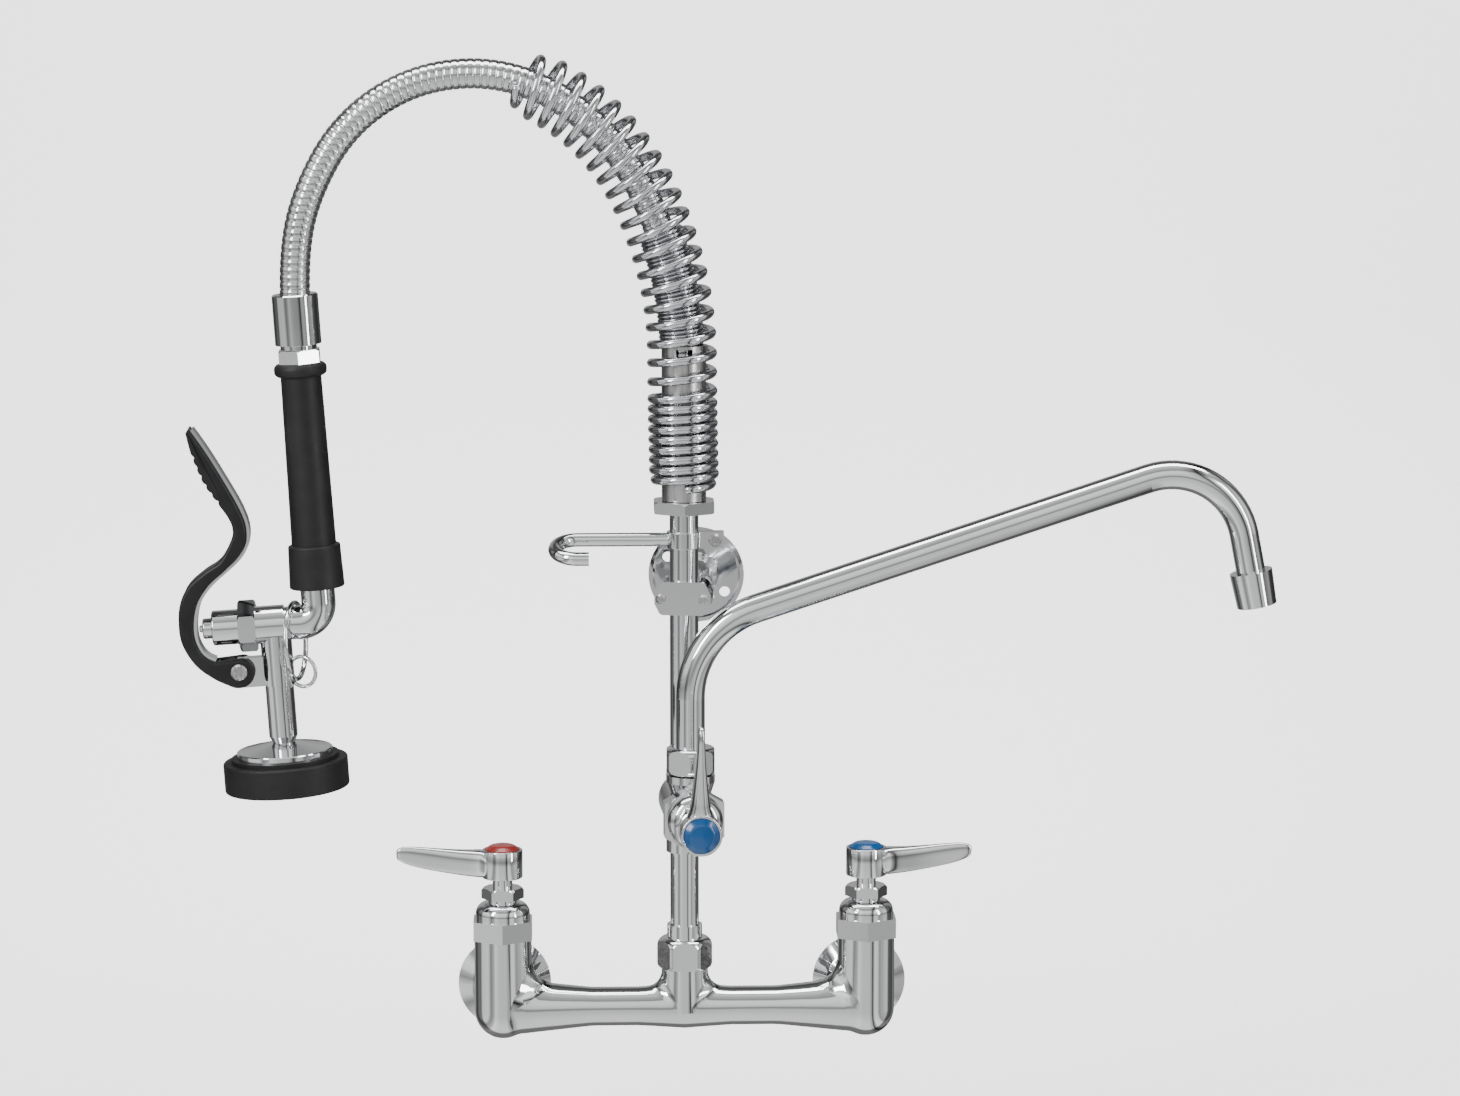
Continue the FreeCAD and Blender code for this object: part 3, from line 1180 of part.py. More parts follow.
def spray_spot(left="0", height="0", front="0"):
    """Formulas for a place in the spray valve's frame, measured from its elbow."""
    return (f"-elbow_left - ({left}) * cos(spray_tilt) - ({height}) * sin(spray_tilt)",
            f"-wall_depth - ({front})",
            f"elbow_height - ({left}) * sin(spray_tilt) + ({height}) * cos(spray_tilt)")


def spray_part(piece, label):
    return keep(place(piece, spray_spot(), spray_turn()), label)


ALONG_VALVE = FreeCAD.Rotation(UP, FreeCAD.Vector(-1, 0, 0))


def valve_part(piece, label):
    """A piece turned about Z, laid along the valve axis so that its heights run left."""
    return keep(place(piece, spray_spot(), spray_turn(ALONG_VALVE)), label)


def grip():
    spray_part(turned("hose_collar_part", [
        ("hose_bore / 2", "swivel_low + swivel_floor + 0.2"),
        ("spigot_across / 2", "swivel_low + swivel_floor + 0.2"), ("spigot_across / 2", "hose_collar_low"),
        ("10", "hose_collar_low"), ("10", "hose_collar_low + 2"),
        ("hose_collar_across / 2", "hose_collar_low + 2.6"),
        ("hose_collar_across / 2", "hose_collar_top - 0.6"),
        ("hose_collar_across / 2 - 0.6", "hose_collar_top"),
        ("hose_across / 2 + loose_play", "hose_collar_top"),
        ("hose_across / 2 + loose_play", "hose_collar_top - collar_socket"),
        ("hose_bore / 2", "hose_collar_top - collar_socket"),
    ]), "hose_collar")
    corner = "swivel_flats / 2 / cos(30)"
    nut_top = "hose_collar_low - loose_play"
    nut = turned("swivel_blank", [
        ("grip_tube / 2 + thread_play", "swivel_low"), (corner, "swivel_low"),
        (corner, nut_top + " - 1"), (corner + " - 1", nut_top),
        ("spigot_across / 2 + running_play", nut_top),
        ("spigot_across / 2 + running_play", "swivel_low + swivel_floor"),
        ("grip_tube / 2 + thread_play", "swivel_low + swivel_floor"),
    ])
    nut = hexed("swivel_nut_part", nut, "swivel_flats", "swivel_low", "hose_collar_low", 30)
    spray_part(nut, "swivel_nut")
    spray_part(turned("grip_tube_part", [
        ("hose_bore / 2", "grip_foot - 5"), ("grip_tube / 2", "grip_foot - 5"),
        ("grip_tube / 2", "swivel_low + swivel_floor - 0.2"),
        ("hose_bore / 2", "swivel_low + swivel_floor - 0.2"),
    ]), "grip_tube")
    inside = "grip_tube / 2 + grip_play"
    sleeve = turned("grip_sleeve_part", [
        (inside, "grip_foot"), ("cup_lower / 2", "grip_foot"), ("cup_upper / 2", "cup_top"),
        ("grip_lower / 2", "cup_top + 0.8"), ("grip_upper / 2", "grip_top - bead_tall"),
        ("bead_across / 2", "grip_top - bead_tall"), ("bead_across / 2", "grip_top - 0.2"),
        (inside, "grip_top - 0.2"),
    ])
    rounded(sleeve, "3", ("bead_across / 2", "grip_top - bead_tall"),
            ("bead_across / 2", "grip_top - 0.2"))
    rounded(sleeve, "0.8", ("cup_lower / 2", "grip_foot"), ("cup_upper / 2", "cup_top"))
    spray_part(sleeve, "grip_sleeve")


def elbow_path(start, end):
    """From above the elbow, down and round it, then left."""
    points = [FreeCAD.Vector(0, 0, start), FreeCAD.Vector(0, 0, 0), FreeCAD.Vector(-end, 0, 0)]
    return bent_path(points, [number("elbow_radius")])


def spray_body():
    """The cast elbow, neck, valve barrel and leg, with the lug that carries the lever."""
    top = number("grip_foot - loose_play")
    elbow = shaped("spray_elbow", rod_along(elbow_path(top, number("ring_neck_from") + 2.5),
                                            number("elbow_across")))
    lug = padded("lever_lug", "XZ_Plane", [
        ("-leg_offset", "-pivot_low + 6.5"), ("-pivot_left - 1", "-pivot_low + 6.5"),
        ("-pivot_left - 4.1", "-pivot_low + 3"), ("-pivot_left - 4.1", "-leg_foot + 1"),
        ("-pivot_left - 2", "-leg_foot"), ("-leg_offset", "-leg_foot"),
    ], "fork_gap - 2 * loose_play")
    solids = [
        elbow, lug,
        cylinder("ring_neck_bar", "ring_neck", "ring_neck_from", "valve_from + 2", turn=ALONG_VALVE),
        cylinder("valve_barrel", "valve_across", "valve_from", "valve_to", turn=ALONG_VALVE),
        cylinder("spray_leg", "leg_across", "-leg_foot", "0", ("-leg_offset", "0", "0")),
    ]
    casting = fused("spray_casting", *solids)
    holes = [
        shaped("elbow_way", rod_along(elbow_path(top + 1, number("valve_from")), number("hose_bore"))),
        cylinder("grip_socket", "grip_tube + 2 * thread_play", "grip_foot - 5.2", "grip_foot + 1"),
        cylinder("barrel_bore", "valve_bore", "ring_neck_from + 4.5", "valve_to + 1", turn=ALONG_VALVE),
        cylinder("leg_way", "hose_bore", "-leg_foot - 1", "0", ("-leg_offset", "0", "0")),
        cylinder("leg_socket", "leg_thread + 2 * thread_play", "-leg_foot - 1", "-leg_foot + leg_thread_deep",
                 ("-leg_offset", "0", "0")),
        cylinder("pivot_hole", "pivot_pin + 2 * thread_play", "-9", "9", ("-pivot_left", "0", "-pivot_low"),
                 FreeCAD.Rotation(UP, TO_WALL)),
    ]
    spray_part(cut("spray_body_part", casting, *holes), "spray_body")


PLUNGER_TURNS = 7


def valve_gear():
    nut = turned("valve_nut_blank", [
        ("valve_across / 2 + thread_play", "valve_nut_from"),
        ("valve_nut_flats / 2 / cos(30) - 1", "valve_nut_from"),
        ("valve_nut_flats / 2 / cos(30)", "valve_nut_from + 1"),
        ("valve_nut_flats / 2 / cos(30)", "valve_nut_to - 1"),
        ("valve_nut_flats / 2 / cos(30) - 1", "valve_nut_to"),
        ("guide_across / 2", "valve_nut_to"), ("guide_across / 2", "guide_end"),
        ("plunger_across / 2 + running_play", "guide_end"),
        ("plunger_across / 2 + running_play", "valve_to - 4.5"),
        ("valve_bore / 2 - thread_play", "valve_to - 4.5"),
        ("valve_bore / 2 - thread_play", "valve_to + 0.05"),
        ("valve_across / 2 + thread_play", "valve_to + 0.05"),
    ])
    rounded(nut, "1.2", ("guide_across / 2", "guide_end"))
    valve_part(hexed("valve_nut_part", nut, "valve_nut_flats", "valve_nut_from", "guide_end"),
               "valve_bonnet_nut")
    plunger = turned("plunger_part", [
        ("0", "valve_to - 10"), ("plunger_head / 2", "valve_to - 10"), ("plunger_head / 2", "valve_to - 7"),
        ("plunger_across / 2", "valve_to - 7"), ("plunger_across / 2", "plunger_end"),
        ("nub_across / 2", "plunger_end"), ("nub_across / 2", "nub_end"), ("0", "nub_end"),
    ])
    rounded(plunger, "1", ("plunger_across / 2", "plunger_end"), ("nub_across / 2", "nub_end"))
    valve_part(plunger, "plunger")
    low, high = number("ring_neck_from + 5.4"), number("valve_to - 10.8")
    radius, wire = number("plunger_coil / 2"), number("plunger_wire / 2")
    pitch = (high - low) / (PLUNGER_TURNS - 1)
    turns = [Part.makeTorus(radius, wire, FreeCAD.Vector(0, 0, low + pitch * turn))
             for turn in range(PLUNGER_TURNS)]
    valve_part(shaped("plunger_spring_part", Part.makeCompound(turns)), "plunger_spring")


# Rows of jets around the middle one: how many, and how far out.
JET_ROWS = ((6, 7), (12, 13.5), (18, 20))


def spray_head():
    at = spray_spot("leg_offset")
    bell = turned("bell", [
        ("hose_bore / 2", "-leg_foot + leg_thread_deep - 0.4"),
        ("leg_thread / 2", "-leg_foot + leg_thread_deep - 0.4"), ("leg_thread / 2", "-leg_foot - 0.05"),
        ("pipe_across / 2", "-leg_foot - 0.05"), ("pipe_across / 2", "-pipe_foot"),
        ("pipe_across / 2 - 1.8", "-pipe_foot - 3.6"), ("pipe_across / 2 + 2", "-pipe_foot - 4.2"),
        ("dish_across / 2 - 0.5", "-dish_rim_top"), ("dish_across / 2", "-dish_rim_top - 0.5"),
        ("dish_across / 2", "-dish_low"), ("bumper_bore / 2 - 0.05", "-dish_low"),
        ("bumper_bore / 2 - 0.05", "-face_low"), ("face_across / 2 + 0.05", "-face_low"),
        ("face_across / 2 + 0.05", "-face_low + face_thick + 0.1"),
        ("face_across / 2 - 2", "-face_low + face_thick + 0.1"),
        ("face_across / 2 - 4", "-dish_rim_top - 2.5"), ("hose_bore / 2", "-pipe_foot - 5"),
    ])
    keep(place(bell, at, spray_turn()), "spray_bell")
    bumper = turned("bumper", [
        ("bumper_bore / 2", "-bumper_low"), ("bumper_across / 2", "-bumper_low"),
        ("bumper_across / 2", "-bumper_top"), ("bumper_lip / 2", "-bumper_top"),
        ("bumper_lip / 2", "-dish_low - 0.05"), ("bumper_bore / 2", "-dish_low - 0.05"),
    ])
    rounded(bumper, "1.2", ("bumper_across / 2", "-bumper_low"), ("bumper_across / 2", "-bumper_top"))
    keep(place(bumper, at, spray_turn()), "bumper_ring")
    disc = cylinder("face_disc", "face_across", "-face_low", "-face_low + face_thick")
    low, high = "-face_low - 1", "-face_low + face_thick + 1"
    jets = [cylinder("jet_0", "jet_across", low, high)]
    for row, (count, out) in enumerate(JET_ROWS, 1):
        for index in range(count):
            angle = 2 * math.pi * index / count
            spot = (str(round(out * math.cos(angle), 3)), str(round(out * math.sin(angle), 3)), "0")
            jets.append(cylinder(f"jet_{row}_{index}", "jet_across", low, high, spot))
    keep(place(cut("spray_face_part", disc, *jets), at, spray_turn()), "spray_face")


# ---------------------------------------------------------------- squeeze lever

# The lever's two edges in the spray valve's frame: left of the elbow, and height above it.
LEVER_OUTSIDE = ((65, 110), (62.5, 97), (57.5, 82), (50, 69.5), (45.5, 62), (43.5, 56), (44.5, 50),
                 (51.5, 38.5), (61, 32.5), (70, 25.5), (75, 17), (77, 7), (76.3, -6), (70, -18.5),
                 (60.5, -27), (51, -32.2))
LEVER_INSIDE = ((61, 112), (53, 98.5), (44, 81), (36.2, 63.5), (34.3, 53), (36.6, 43.4), (47, 32.5),
                (57.5, 24), (64.5, 14.5), (67.1, 5), (67.2, -4.5), (63.7, -12.7), (58, -16.5))
STRIP_THICK = 1.6
STRIP_PLAY = 0.03
FINGER_GROOVES = 6


def beside(points, distance):
    """The same line moved sideways; positive is towards the lever's outside."""
    moved = []
    for index, (left, height) in enumerate(points):
        before = points[max(index - 1, 0)]
        after = points[min(index + 1, len(points) - 1)]
        run = math.dist(before, after)
        moved.append((left - (after[1] - before[1]) / run * distance,
                      height + (after[0] - before[0]) / run * distance))
    return moved


def curve(points):
    """A smooth curve through points of the spray valve's frame, in the plane of the grip."""
    line = Part.BSplineCurve()
    line.interpolate([FreeCAD.Vector(-left, 0, height) for left, height in points])
    return line.toShape()


def slab(edges, wide):
    """A closed outline in the plane of the grip, given a width towards the wall."""
    face = Part.Face(Part.Wire(Part.__sortEdges__(edges)))
    return face.extrude(FreeCAD.Vector(0, wide, 0))


def straight(start, end):
    ends = [FreeCAD.Vector(-left, 0, height) for left, height in (start, end)]
    return Part.LineSegment(*ends).toShape()


def lever():
    pivot = (number("pivot_left"), -number("pivot_low"))
    ear = number("ear_across") / 2
    back = beside(LEVER_INSIDE, STRIP_THICK)
    strip = slab([curve(LEVER_INSIDE), straight(LEVER_INSIDE[-1], back[-1]), curve(back),
                  straight(back[0], LEVER_INSIDE[0])], number("strip_wide"))
    strip = place(shaped("lever_strip", strip), spray_spot(front="strip_wide / 2"), spray_turn())
    keep(strip, "lever")
    inside = beside(LEVER_INSIDE, STRIP_THICK + STRIP_PLAY)
    ear_top = (pivot[0] - 2, pivot[1] + ear - 1.5)
    round_ear = Part.Arc(FreeCAD.Vector(-LEVER_OUTSIDE[-1][0], 0, LEVER_OUTSIDE[-1][1]),
                         FreeCAD.Vector(-pivot[0] + ear, 0, pivot[1]),
                         FreeCAD.Vector(-ear_top[0], 0, ear_top[1])).toShape()
    cover = slab([curve(LEVER_OUTSIDE), round_ear, straight(ear_top, inside[-1]), curve(inside),
                  straight(inside[0], LEVER_OUTSIDE[0])], number("lever_wide"))
    cover = place(shaped("lever_cover_slab", cover), ("0", "-lever_wide / 2", "0"))
    to_wall = FreeCAD.Rotation(UP, TO_WALL)
    at_pivot = ("-pivot_left", "0", "-pivot_low")
    tools = [
        cylinder("lever_pivot_way", "pivot_pin + 2 * running_play", "-lever_wide", "lever_wide",
                 at_pivot, to_wall),
        cylinder("fork_round", "fork_room", "-fork_gap / 2", "fork_gap / 2", at_pivot, to_wall),
    ]
    outer = curve(LEVER_OUTSIDE)
    for index in range(FINGER_GROOVES):
        along = outer.getParameterByLength(number(f"finger_start + finger_pitch * {index}"))
        spot = outer.valueAt(along)
        groove = cylinder(f"finger_groove_{index}", "finger_groove", "-lever_wide", "lever_wide",
                          (str(round(spot.x - 0.6, 2)), "0", str(round(spot.z - 0.4, 2))), to_wall)
        tools.append(groove)
    spray_part(cut("lever_cover_part", cover, *tools), "lever_cover")
    screw = cross_screw("lever_screw_part", "pivot_head", "pivot_pin", "lever_wide + 1.5")
    place(screw, spray_spot("pivot_left", "-pivot_low", "lever_wide / 2 + 0.3"),
          spray_turn(FreeCAD.Rotation(UP, TO_FRONT)))
    keep(screw, "lever_screw")


# ---------------------------------------------------------------- rings

def ring(name, across, wire):
    torus = doc.addObject("Part::Torus", name)
    torus.setExpression("Radius1", bound(f"({across} - {wire}) / 2"))
    torus.setExpression("Radius2", bound(f"{wire} / 2"))
    return torus


def rings():
    """A ring that hangs on the neck of the spray valve, and a small one linked through it."""
    large = ring("hold_ring_part", "hold_ring_across", "hold_ring_wire")
    place(large, spray_spot("hold_ring_left", "-hold_ring_low"), spray_turn(ALONG_VALVE))
    keep(large, "hold_ring")
    small = ring("link_ring_part", "link_ring_across", "link_ring_wire")
    place(small, spray_spot("hold_ring_left - 2.4", "-hold_ring_low - 17.2", "1.5"),
          spray_turn(FreeCAD.Rotation(UP, 45).multiply(FreeCAD.Rotation(UP, TO_WALL))))
    keep(small, "link_ring")


# ---------------------------------------------------------------- all pieces, checks and files

MOST_FILES = 60


def check():
    """Stops on a broken object or an empty or invalid piece."""
    for thing in doc.Objects:
        if "Invalid" in thing.State or "Error" in thing.State:
            raise RuntimeError(f"{thing.Name} is broken: {thing.State}")
    for node in nodes:
        if node.Shape.isNull() or not node.Shape.isValid() or not node.Shape.Solids:
            raise RuntimeError(f"{node.Label} has no valid solid")
    labels = {node.Label for node in nodes}
    if len(labels) != len(nodes) or len(nodes) > MOST_FILES:
        raise RuntimeError(f"{len(nodes)} pieces with {len(labels)} names, at most {MOST_FILES} allowed")


def write():
    os.makedirs("parts", exist_ok=True)
    for node in nodes:
        node.Shape.exportStep(f"parts/{node.Label}.step")
    print(len(nodes), "pieces written")


mixing_body()
supplies()
valves()
riser()
addon_faucet()
spout()
finger_hook()
bracket()
spring_parts()
hose()
grip()
spray_body()
valve_gear()
spray_head()
lever()
rings()
doc.recompute()
check()
write()
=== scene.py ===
import json
import math

import bmesh
import bpy
from mathutils import Matrix, Vector


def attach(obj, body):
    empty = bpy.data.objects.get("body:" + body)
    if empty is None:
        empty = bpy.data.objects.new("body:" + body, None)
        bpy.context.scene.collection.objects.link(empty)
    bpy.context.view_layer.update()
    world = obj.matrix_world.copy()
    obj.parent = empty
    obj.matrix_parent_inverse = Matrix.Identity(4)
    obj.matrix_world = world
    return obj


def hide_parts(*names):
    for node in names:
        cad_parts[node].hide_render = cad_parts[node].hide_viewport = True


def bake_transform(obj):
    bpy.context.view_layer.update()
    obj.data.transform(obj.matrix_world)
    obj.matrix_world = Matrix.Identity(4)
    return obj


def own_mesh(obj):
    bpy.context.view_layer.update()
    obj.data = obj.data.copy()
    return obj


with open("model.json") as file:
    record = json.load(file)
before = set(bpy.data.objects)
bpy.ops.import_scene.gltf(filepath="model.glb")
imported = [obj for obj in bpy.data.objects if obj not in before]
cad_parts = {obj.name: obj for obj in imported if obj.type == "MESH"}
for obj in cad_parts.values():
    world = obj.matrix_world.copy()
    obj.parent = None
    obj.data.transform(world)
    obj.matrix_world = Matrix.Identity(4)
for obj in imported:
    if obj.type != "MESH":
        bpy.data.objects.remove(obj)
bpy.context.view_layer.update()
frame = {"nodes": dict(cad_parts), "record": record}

# Places on the faucet, in metres: +X right, +Y into the wall, +Z up.
PLANE_Y = -0.0635
VALVE_X = 0.1016
COLUMN_TOP = 0.0415
ADDON_YAW = math.radians(3.9)
ADDON_HEIGHT = 0.1205
ADDON_STEM_OUT = 0.0495
# The hose's route: how far left of the riser, and how high.
HOSE_ROUTE = ((0.0, 0.3045), (0.0009, 0.345), (0.001, 0.389), (0.010, 0.431), (0.0285, 0.473),
              (0.060, 0.507), (0.101, 0.5245), (0.146, 0.5205), (0.184, 0.496), (0.2065, 0.456),
              (0.2132, 0.420), (0.2121, 0.3945))
HOSE_R = 0.00835
SPRING_R, SPRING_WIRE_R = 0.01695, 0.00245
GUARD_R, GUARD_WIRE_R = 0.0114, 0.0011
ELBOW = Vector((-0.2012, PLANE_Y, 0.2217))
TILT = Matrix.Rotation(math.radians(-3.6), 3, "Y")


# ---------------------------------------------------------------- camera

def camera():
    data = bpy.data.cameras.new("camera")
    data.sensor_width = 36
    data.lens = 116
    eye = bpy.data.objects.new("camera", data)
    eye.location = (-0.0642, -2.6299, 0.6680)
    target = Vector((0.0254, PLANE_Y, 0.2612))
    eye.rotation_euler = (target - eye.location).to_track_quat("-Z", "Y").to_euler()
    bpy.context.scene.collection.objects.link(eye)
    bpy.context.scene.camera = eye


# ---------------------------------------------------------------- mesh tools

def mesh_piece(name, work):
    """An object with smooth shading, whose faces all look outwards."""
    data = bpy.data.meshes.new(name)
    bmesh.ops.recalc_face_normals(work, faces=work.faces)
    work.to_mesh(data)
    work.free()
    for face in data.polygons:
        face.use_smooth = True
    piece = bpy.data.objects.new(name, data)
    bpy.context.scene.collection.objects.link(piece)
    return piece


def finished(piece, material, body, slot, *replaced):
    """Gives a piece its material, its body and the CAD nodes that it stands for, which it hides; slot is
    not used.
    """
    piece.data.materials.append(material)
    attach(piece, body)
    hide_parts(*replaced)


def frames_along(points):
    """Each point with a pair of directions square to the line, which never twist about it."""
    tangents = [(after - before).normalized() for before, after in
                zip([points[0]] + points[:-1], points[1:] + [points[-1]])]
    side = tangents[0].orthogonal().normalized()
    frames = []
    for point, tangent in zip(points, tangents):
        side = (side - tangent * side.dot(tangent)).normalized()
        frames.append((point, side, tangent.cross(side)))
    return frames


def around(steps):
    """Equal turns, once round a circle."""
    return [2 * math.pi * step / steps for step in range(steps)]


def join_rings(work, rings):
    """Faces between each ring of vertices and the next."""
    for ring, following in zip(rings, rings[1:]):
        for step in range(len(ring)):
            after = (step + 1) % len(ring)
            work.faces.new((ring[step], ring[after], following[after], following[step]))


def close_ends(work, rings):
    work.faces.new(list(reversed(rings[0])))
    work.faces.new(rings[-1])


def tube(name, points, radii, sides):
    """A round tube along points, with its own radius at each and both ends closed."""
    work = bmesh.new()
    rings = []
    for (point, side, other), radius in zip(frames_along(points), radii):
        rings.append([work.verts.new(point + (side * math.cos(turn) + other * math.sin(turn)) * radius)
                      for turn in around(sides)])
    join_rings(work, rings)
    close_ends(work, rings)
    return mesh_piece(name, work)


def smoothed(rows, parts):
    """Rows of numbers with more rows between them, on a smooth line through them all."""
    result = []
    for index in range(len(rows) - 1):
        a, b = rows[max(index - 1, 0)], rows[index]
        c, d = rows[index + 1], rows[min(index + 2, len(rows) - 1)]
        for part in range(parts):
            t = part / parts
            result.append(tuple(
                0.5 * (2 * q + (r - p) * t + (2 * p - 5 * q + 4 * r - s) * t * t
                       + (3 * q - p - 3 * r + s) * t ** 3)
                for p, q, r, s in zip(a, b, c, d)))
    result.append(tuple(float(value) for value in rows[-1]))
    return result


# ---------------------------------------------------------------- hose and springs

def hose_centreline():
    """The points of the hose's own smooth line, from the riser to the collar."""
    data = bpy.data.curves.new("hose_line", "CURVE")
    data.dimensions = "3D"
    data.resolution_u = 48
    spline = data.splines.new("NURBS")
    spline.points.add(len(HOSE_ROUTE) - 1)
    for point, (left, height) in zip(spline.points, HOSE_ROUTE):
        point.co = (-left, PLANE_Y, height, 1)
    spline.order_u = 3
    spline.use_endpoint_u = True
    line = bpy.data.objects.new("hose_line", data)
    bpy.context.scene.collection.objects.link(line)
    mesh = bpy.data.meshes.new_from_object(line)
    points = [vertex.co.copy() for vertex in mesh.vertices]
    bpy.data.objects.remove(line)
    return points


class Line:
    """A line of points that can be read at any distance along it, and straight on past its ends."""

    def __init__(self, points):
        self.points = points
        self.marks = [0.0]
        for before, after in zip(points, points[1:]):
            self.marks.append(self.marks[-1] + (after - before).length)
        self.length = self.marks[-1]
        self.at = 0

    def spot(self, distance):
        last = len(self.points) - 2
        self.at = min(self.at, last)
        while self.at > 0 and self.marks[self.at] > distance:
            self.at -= 1
        while self.at < last and self.marks[self.at + 1] < distance:
            self.at += 1
        start, end = self.points[self.at], self.points[self.at + 1]
        return start + (end - start).normalized() * (distance - self.marks[self.at])

    def frame(self, distance):
        """The spot, the direction out of the arch's plane, and the direction across the line in it."""
        step = 0.001
        ahead = (self.spot(distance + step) - self.spot(distance - step)).normalized()
        out = Vector((0, -1, 0))
        return self.spot(distance), out, ahead.cross(out)


def hose(line, material):
    """The ribbed metal hose: rings with a narrow groove between each and the next."""
    rib = 0.0041
    profile = ((0.0, 0.93), (0.1, 0.985), (0.3, 1.0), (0.7, 1.0), (0.9, 0.985))
    distances, radii = [], []
    for ring in range(int(line.length / rib)):
        for share, size in profile:
            distances.append((ring + share) * rib)
            radii.append(HOSE_R * size)
    distances.append(line.length)
    radii.append(HOSE_R)
    points = [line.spot(distance) for distance in distances]
    piece = tube("hose_ribbed", points, radii, 40)
    piece.data.materials.append(material)
    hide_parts("hose")
    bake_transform(piece)


def coil(name, line, turns, radius_at, wire_r, sides):
    """A wire wound round the line; turns is a list of the distances where each turn begins."""
    steps = 36
    points = []
    for index, (start, end) in enumerate(zip(turns, turns[1:])):
        for step in range(steps):
            share = step / steps
            place, out, across = line.frame(start + (end - start) * share)
            turn = 2 * math.pi * share
            radius = radius_at(index + share)
            points.append(place + (out * math.cos(turn) + across * math.sin(turn)) * radius)
    return tube(name, points, [wire_r] * len(points), sides)


def overhead_spring(line, material):
    """Nine closed turns that begin around the sleeve, then open ones; both ends draw in."""
    start, closed_turns, open_turns = -0.0087, 9, 20
    closed_pitch, open_pitch = 0.0056, 0.01046
    foot_drawn, foot_turns = 0.0021, 1.2
    head_drawn, head_turns = 0.0050, 1.6
    turns = [start + closed_pitch * index for index in range(closed_turns + 1)]
    turns += [turns[-1] + open_pitch * index for index in range(1, open_turns + 1)]

    def radius(turn):
        left = closed_turns + open_turns - turn
        drawn = (foot_drawn * max(0.0, 1 - turn / foot_turns)
                 + head_drawn * max(0.0, 1 - left / head_turns) ** 1.5)
        return SPRING_R - drawn
    piece = coil("overhead_spring_coil", line, turns, radius, SPRING_WIRE_R, 14)
    finished(piece, material, "arch", "spring_steel", "overhead_spring")


def guard_spring(line, material):
    """The fine, close-wound guard over the hose's foot."""
    start, pitch, marks = 0.0708, 0.00235, 28
    turns = [start + pitch * index for index in range(marks)]
    piece = coil("guard_coil", line, turns, lambda turn: GUARD_R, GUARD_WIRE_R, 8)
    finished(piece, material, "arch", "spring_steel", "guard_spring")


# ---------------------------------------------------------------- lever handles

# The blade from the hub to its tip, in millimetres: distance from the stem's axis, half its
# thickness, and the heights of its lower and upper edges above the column. The hub's outline is
# radius and height.
BLADE = ((7.5, 7.6, 36.0, 48.9), (9.6, 7.1, 35.2, 49.0), (11.2, 6.5, 34.9, 50.0), (13.5, 5.8, 35.0, 50.2),
         (17, 5.1, 35.3, 50.2), (22, 4.45, 35.9, 50.3), (28, 3.75, 36.8, 50.6), (34, 3.15, 37.8, 51.0),
         (40, 2.65, 38.9, 51.5), (46, 2.25, 40.2, 51.9), (51, 2.0, 41.5, 52.2), (55, 1.8, 43.0, 52.0),
         (57.5, 1.55, 44.4, 51.3), (58.8, 1.1, 45.8, 50.1), (59.0, 0.5, 47.0, 49.0))
HUB = ((4.02, 34.5), (10.7, 34.5), (11.12, 34.68), (11.3, 35.1), (11.3, 49.9), (11.12, 50.32),
       (10.7, 50.5), (9.56, 50.5), (9.56, 49.1), (3.85, 49.1), (3.85, 44.5), (4.02, 44.5))
HUB_SIDES = 72
BLADE_SIDES = 48
BLADE_ROUNDING = 0.62   # 1 gives an ellipse, and less a squarer section


def lathe(work, outline, sides):
    """A closed outline of radius and height, turned about Z."""
    rings = [[work.verts.new((radius * math.cos(turn), radius * math.sin(turn), height))
              for turn in around(sides)]
             for radius, height in outline]
    join_rings(work, rings + rings[:1])


def lever_handle(name, place):
    """A turned hub with a blade, made along X about its stem and then put in its place."""
    work = bmesh.new()
    lathe(work, [(radius / 1000, height / 1000) for radius, height in HUB], HUB_SIDES)
    rings = []
    for reach, half, low, high in smoothed(BLADE, 4):
        middle, tall = (low + high) / 2, (high - low) / 2
        ring = []
        for turn in around(BLADE_SIDES):
            across, up = math.cos(turn), math.sin(turn)
            across = math.copysign(abs(across) ** BLADE_ROUNDING, across) * half
            up = math.copysign(abs(up) ** BLADE_ROUNDING, up) * tall
            ring.append(work.verts.new(Vector((reach, across, middle + up)) / 1000))
        rings.append(ring)
    join_rings(work, rings)
    close_ends(work, rings)
    piece = mesh_piece(name, work)
    piece.data.transform(place)
    return piece


def handles(material):
    """The hot, cold and add-on handles, one shape in three places."""
    forward = Vector((math.sin(ADDON_YAW), -math.cos(ADDON_YAW), 0))
    addon = Matrix((Vector((0, 0, 1)), forward.cross(Vector((0, 0, 1))), forward)).transposed().to_4x4()
    addon.translation = Vector((0, PLANE_Y, ADDON_HEIGHT)) + forward * ADDON_STEM_OUT
    hot = Matrix.Translation((-VALVE_X, PLANE_Y, COLUMN_TOP)) @ Matrix.Rotation(math.pi, 4, "Z")
    cold = Matrix.Translation((VALVE_X, PLANE_Y, COLUMN_TOP))
    for name, place in (("hot", hot), ("cold", cold), ("addon", addon)):
        piece = lever_handle(name + "_lever_handle", place)
        finished(piece, material, name + "_valve", "chrome", name + "_handle")


# ---------------------------------------------------------------- squeeze lever and rings

